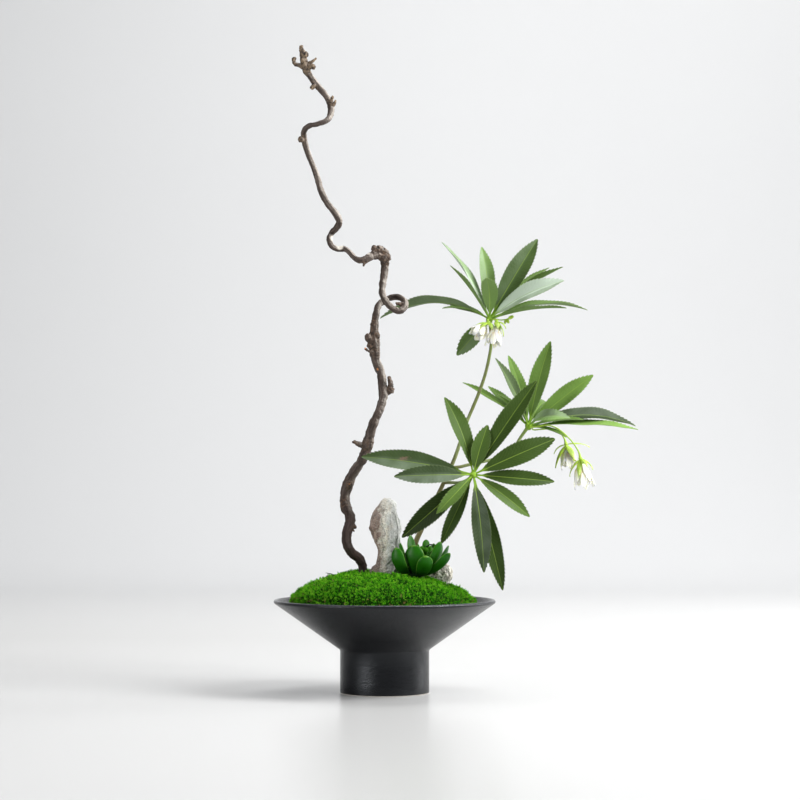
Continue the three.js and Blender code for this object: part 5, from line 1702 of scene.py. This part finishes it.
# %% Blossom places
# The stalk's stops, the way the bell hangs, petal length and spread, and the sepals (x, y, z, width)
BLOSSOMS = {
    "right_upper": {
        "hub": RIGHT_HUB, "stalk": [(177.8, 30.4, 308.8), (188, 27, 309.5), (199, 21, 309.5),
            (207, 16, 305.5), (212, 12, 298.5), (214, 9, 291)],
        "hang": (0.16, -0.05, -1), "length": 25, "spread": 7,
        "sepals": [(-13, -7, -28, 4.4), (28, 2, -3, 4.4), (9, -13, -20, 6), (-14, 9, -11, 3),
            (4, 12, -20, 4.4)],
    },
    "right_lower": {
        "hub": RIGHT_HUB, "stalk": [(175, 22, 311.5), (183, 13.5, 312.5), (193, 9, 313.5),
            (203, 4, 310), (213, 0, 302), (222, -2, 292), (228, -2, 282), (230, -2, 274)],
        "hang": (0.13, -0.05, -1), "length": 31, "spread": 8,
        "sepals": [(15, 2, -13, 3.4), (-13, -4, -21, 3.4), (-3, -12, -24, 4), (7, -13, -10, 4),
            (4, 14, -18, 4)],
    },
    "top_left": {
        "hub": TOP_HUB, "stalk": [(122.4, 3.4, 438.5), (121.5, -1, 437.3), (121.5, -5, 433.8)],
        "hang": (-0.72, -0.3, -0.72), "length": 20, "spread": 6,
        "sepals": [(-18, -2, -7, 5.4), (-10, -13, -9, 5.4), (5, -12, -9, 4.4)],
    },
    "top_right": {
        "hub": TOP_HUB, "stalk": [(127, 3, 438.3), (130, -3, 437.5), (131.5, -7, 434.5)],
        "hang": (-0.14, -0.1, -1), "length": 25, "spread": 6,
        "sepals": [(8, 0, -17, 4.2), (1, -13, -9, 4.8), (4, 10, -13, 3.6), (11, -8, -8, 3.6)],
    },
}
STALK_RADIUS = 0.8
STALK_START = 4.6
CALYX_RADIUS = 2.3
PETAL_HALF = 4.5
PETAL_START = 3.7
PETAL_STEPS = 14
THIN_COLUMNS = (-1.0, -0.75, -0.45, -0.15, 0.15, 0.45, 0.75, 1.0)
PETALS = 8
STAMENS = 12
LOOSE_THREADS = 4
THREAD_SHARES = (0, 0.35, 0.7, 1)
BEAD_RINGS = 7
BLOSSOM_SEED = 8
print("blossoms:", sorted(BLOSSOMS))

# %% Thin blades
def thin_blade(skin, root, tip, axis, outline, arch, cup, thick, ruffle, seed):
    """A petal or sepal from root to tip, its inner face towards axis. outline gives the half width."""
    reach = tip - root
    along = reach.normalized()
    side = along.cross(axis).normalized()
    face = side.cross(along)
    rings, marks = [], []
    for step in range(PETAL_STEPS + 1):
        u = step / PETAL_STEPS
        half = max(0.12, outline(u))
        middle = root + reach * u + face * (4 * arch * u * (1 - u))
        inner, outer = [], []
        for c in THIN_COLUMNS:
            wrinkle = ruffle * noise.noise(Vector((c * 1.6, u * 2.5, seed * 9))) * u * (0.4 + c * c)
            at = middle + side * (c * half) + face * (cup * half * c * c + wrinkle)
            half_thick = thick * (1 - 0.6 * c * c)
            inner.append(at + face * half_thick)
            outer.append(at - face * half_thick)
        rings.append(inner + outer[::-1])
        columns = THIN_COLUMNS + THIN_COLUMNS[::-1]
        marks.append([Vector((c, u, seed)) for c in columns])
    skin.loft(rings, marks={"petal": marks})


print("points round a blade:", 2 * len(THIN_COLUMNS))


# %% Threads, beads and outlines
def thread(skin, start, end, sag, radius, seed):
    """A fine thread, such as a filament, between two places."""
    bend = noise.noise(start + Vector((seed, 0, 0))), noise.noise(end + Vector((0, seed, 0)))
    side = Vector((*bend, 0)) * sag
    stops = []
    for u in THREAD_SHARES:
        place = start.lerp(end, u) + side * math.sin(math.pi * u)
        stops.append((*place, radius * (1 - 0.5 * u)))
    swept(skin, stops, sides=6, steps=3)


def bead(skin, centre, along, length, radius, sides=8):
    """A small rounded grain, such as an anther or a bud."""
    up = along.normalized()
    side = up.orthogonal().normalized()
    other = up.cross(side)
    rings = []
    for step in range(BEAD_RINGS):
        turn = math.pi * (step + 0.35) / (BEAD_RINGS - 0.3)
        reach = radius * math.sin(turn)
        rings.append(oval(centre - up * (length / 2 * math.cos(turn)), side, reach, other, reach, sides))
    skin.loft(rings)


def petal_outline(wide):
    return lambda u: wide * math.sqrt(max(0.0, 1 - abs(2 * u**1.2 - 1) ** 2.4))


def sepal_outline(wide):
    return lambda u: 0.2 + wide * math.sin(math.pi * u**0.75) ** 1.1


print("half way down, a petal's half width is", round(petal_outline(PETAL_HALF)(0.5), 2), "mm")


# %% Blossom finishes
def petal_white(tree, surface):
    place = object_place(tree)
    petal = marked(tree, "petal", "Vector")
    along = axes(tree, petal)[1]
    streaks = cloud(tree, stretched(tree, petal, 1, 0.12, 5), 9.0, 4.0)
    ground = blend(tree, remap(tree, streaks, 0.3, 0.6), colour(0.80, 0.81, 0.62), colour(0.99, 0.98, 0.90))
    based = blend(tree, remap(tree, along, 0.02, 0.28, 0.75, 0.0), ground, colour(0.50, 0.56, 0.16))
    flecks = placed(tree, PATCHES, Place=place, Scale=420.0, Sharpness=0.85)
    near = product(tree, remap(tree, along, 0.15, 0.3), remap(tree, along, 0.45, 0.7, 1.0, 0.0))
    blush = product(tree, product(tree, flecks, near), 0.35)
    wire(tree, surface, Base_Color=blend(tree, blush, based, colour(0.86, 0.44, 0.24)))
    roughen(tree, surface, place, 700.0, 0.0002, 0.4)
    steady(surface, Roughness=0.5, Subsurface_Weight=0.95, Subsurface_Radius=(0.012, 0.012, 0.009))


def calyx_skin(tree, surface):
    place = object_place(tree)
    across, along, _ = axes(tree, marked(tree, "petal", "Vector"))
    grain = cloud(tree, place, 700.0, 3.0)
    lime = blend(tree, grain, colour(0.30, 0.48, 0.03), colour(0.48, 0.66, 0.09))
    tipped = blend(tree, remap(tree, along, 0.45, 1.0, 0.0, 0.6), lime, colour(0.58, 0.66, 0.26))
    middle = remap(tree, maths(tree, "ABSOLUTE", across), 0.0, 0.35, 0.35, 0.0)
    rib = product(tree, middle, remap(tree, along, 0.0, 0.1))
    ribbed = blend(tree, rib, tipped, colour(0.22, 0.42, 0.02))
    wire(tree, surface, Base_Color=ribbed)
    roughen(tree, surface, place, 800.0, 0.0002, 0.4)
    steady(surface, Roughness=0.5, Subsurface_Weight=0.4, Subsurface_Radius=(0.003, 0.004, 0.001))


def pollen_gold(tree, surface):
    grain = cloud(tree, object_place(tree), 1500.0, 2.0)
    wire(tree, surface, Base_Color=blend(tree, grain, colour(0.62, 0.36, 0.05), colour(0.86, 0.66, 0.20)))
    steady(surface, Roughness=0.8)


CALYX_SKIN = material_with("calyx_skin", calyx_skin)
PETAL_FINISHES = [material_with("petal_white", petal_white), material_with("pollen_gold", pollen_gold)]


# %% Calyces
SWOLLEN_STALK = 1.15 * STALK_RADIUS
STALK_END = 1.7
# A short side stalk with three unopened buds, beside the top right blossom
BUD_STALK = [(128.6, 7, 440, 0.8), (136, 5, 438, 0.7), (143, 4, 438.5, 0.7), (147, 4, 440, 0.8)]
# Each bud's middle, the way it points, its length and its radius
BUDS = [
    ((149, 4, 441), (1, 0, 0.5), 7.5, 2.3), ((145.5, 4, 436.4), (0.3, 0, -1), 5.6, 1.9),
    ((142.3, 3.4, 435.8), (-0.2, 0, -1), 5.2, 1.6),
]


def add_buds(skin):
    """Adds the side stalk and its buds."""
    swept(skin, BUD_STALK, sides=8, steps=4)
    for middle, along, length, radius in BUDS:
        bead(skin, Vector(middle), Vector(along), length, radius, sides=12)


def calyx(name, hub, stalk, hang, petal_length, sepals):
    """The green part of a blossom: its stalk, swollen base, sepals and loose threads."""
    skin = Skin()
    draw = random.Random(BLOSSOM_SEED)
    heart, down = Vector(stalk[-1]), Vector(hang).normalized()
    start = hub + (Vector(stalk[0]) - hub).normalized() * STALK_START
    places = [start, *stalk[:-1], heart - down * 1.4]
    radii = [SWOLLEN_STALK] + [STALK_RADIUS] * (len(places) - 3) + [SWOLLEN_STALK, STALK_END]
    swept(skin, [(*place, radius) for place, radius in zip(places, radii)], sides=10, steps=4, swell=0.1)
    bead(skin, heart - down * 0.3, down, length=6.0, radius=CALYX_RADIUS, sides=14)
    for x, y, z, width in sepals:
        inwards = Vector((-x, -y, -6)).normalized()
        thin_blade(skin, heart, heart + Vector((x, y, z)), inwards, sepal_outline(width / 2 * 1.5),
                   arch=-3.2, cup=0.3, thick=0.32, ruffle=1.4, seed=draw.random())
    for number in range(LOOSE_THREADS):
        angle = 1.6 * number + draw.uniform(0, 1)
        out = Vector((math.cos(angle), math.sin(angle), 0)) * draw.uniform(5, 8)
        end = heart + down * petal_length * draw.uniform(0.6, 0.95) + out
        thread(skin, heart, end, sag=9, radius=0.3, seed=number)
    if name == "top_right":
        add_buds(skin)
    dressed(skin.piece(f"calyx_{name}_sepals", [CALYX_SKIN]), "calyx", f"calyx_{name}")


print("buds:", len(BUDS))


# %% Petals
def bell(name, stalk, hang, petal_length, spread):
    """The white part of a blossom: two rings of petals round the stamens and their pollen."""
    draw = random.Random(BLOSSOM_SEED + len(name))
    skin, grains = Skin(), Skin()
    down = Vector(hang).normalized()
    root = Vector(stalk[-1]) + down * PETAL_START
    across = Vector((1, 0, 0)).cross(down).normalized()
    beside = down.cross(across)
    bead(skin, root, down, length=4.0, radius=1.7, sides=12)
    for k in range(2 * PETALS):
        inner = k >= PETALS
        angle = 2 * math.pi * (k + (0.75 if inner else 0.25)) / PETALS + draw.uniform(-0.2, 0.2)
        out = across * math.cos(angle) + beside * math.sin(angle)
        reach = petal_length * (0.8 if inner else (0.86 if k % 2 else 1.02)) * draw.uniform(0.95, 1.05)
        tip = root + down * reach + out * spread * (0.7 if inner else 1.45)
        half, arch = (0.75 * PETAL_HALF, -1.2) if inner else (PETAL_HALF, -2.4)
        thin_blade(skin, root, tip, -out, petal_outline(half),
                   arch, cup=0.14, thick=0.3, ruffle=4.6, seed=draw.random())
    for k in range(STAMENS):
        angle = GOLDEN_TURN * k
        out = (across * math.cos(angle) + beside * math.sin(angle)) * draw.uniform(1.0, 3.2)
        end = root + down * petal_length * draw.uniform(0.5, 0.95) + out
        thread(skin, root, end, sag=2, radius=0.22, seed=k)
        bead(grains, end, down + out * 0.1, length=1.5, radius=0.5)
    pollen = len(skin.points)
    skin.points += grains.points
    skin.faces += [tuple(index + pollen for index in face) for face in grains.faces]
    skin.finishes += [1] * len(grains.faces)
    dressed(skin.piece(f"petals_{name}_bell", PETAL_FINISHES), "petal", f"petals_{name}")


for name, facts in BLOSSOMS.items():
    calyx(name, facts["hub"], facts["stalk"], facts["hang"], facts["length"], facts["sepals"])
    bell(name, facts["stalk"], facts["hang"], facts["length"], facts["spread"])

# %% [markdown]
# A dry curled tendril lies on the left of the moss, and two short wisps with it. They are small, but a
# mound without any litter looks like plastic. They are tubes swept along the stops listed below.

# %% Dry tendril
TENDRIL_RUNS = [
    [(-58, -4, 131, 0.8), (-60, -6, 135, 0.8), (-64, -7, 137.5, 0.7), (-68, -6, 136.5, 0.6),
     (-69, -4, 134, 0.5), (-66, -3, 133.5, 0.35), (-64, -4, 135, 0.3)],
    [(-60, -6, 135, 0.7), (-61, -8, 138.5, 0.7), (-64, -9, 139.5, 0.6), (-67, -9, 139, 0.4)],
    [(-64, -7, 137.5, 0.4), (-66, -9, 140, 0.35), (-69, -10, 140.5, 0.3)],
]


def dry_stalk(tree, surface):
    grain = cloud(tree, object_place(tree), 900.0, 3.0)
    stalk = blend(tree, grain, colour(0.008, 0.010, 0.004), colour(0.05, 0.038, 0.02))
    wire(tree, surface, Base_Color=stalk)
    steady(surface, Roughness=0.75)


def tendril():
    skin = Skin()
    for run in TENDRIL_RUNS:
        swept(skin, run, sides=8, steps=5, swell=0.2)
    return skin.piece("dry_tendril", [material_with("dry_stalk", dry_stalk)])


dressed(tendril(), "moss")

# %% [markdown]
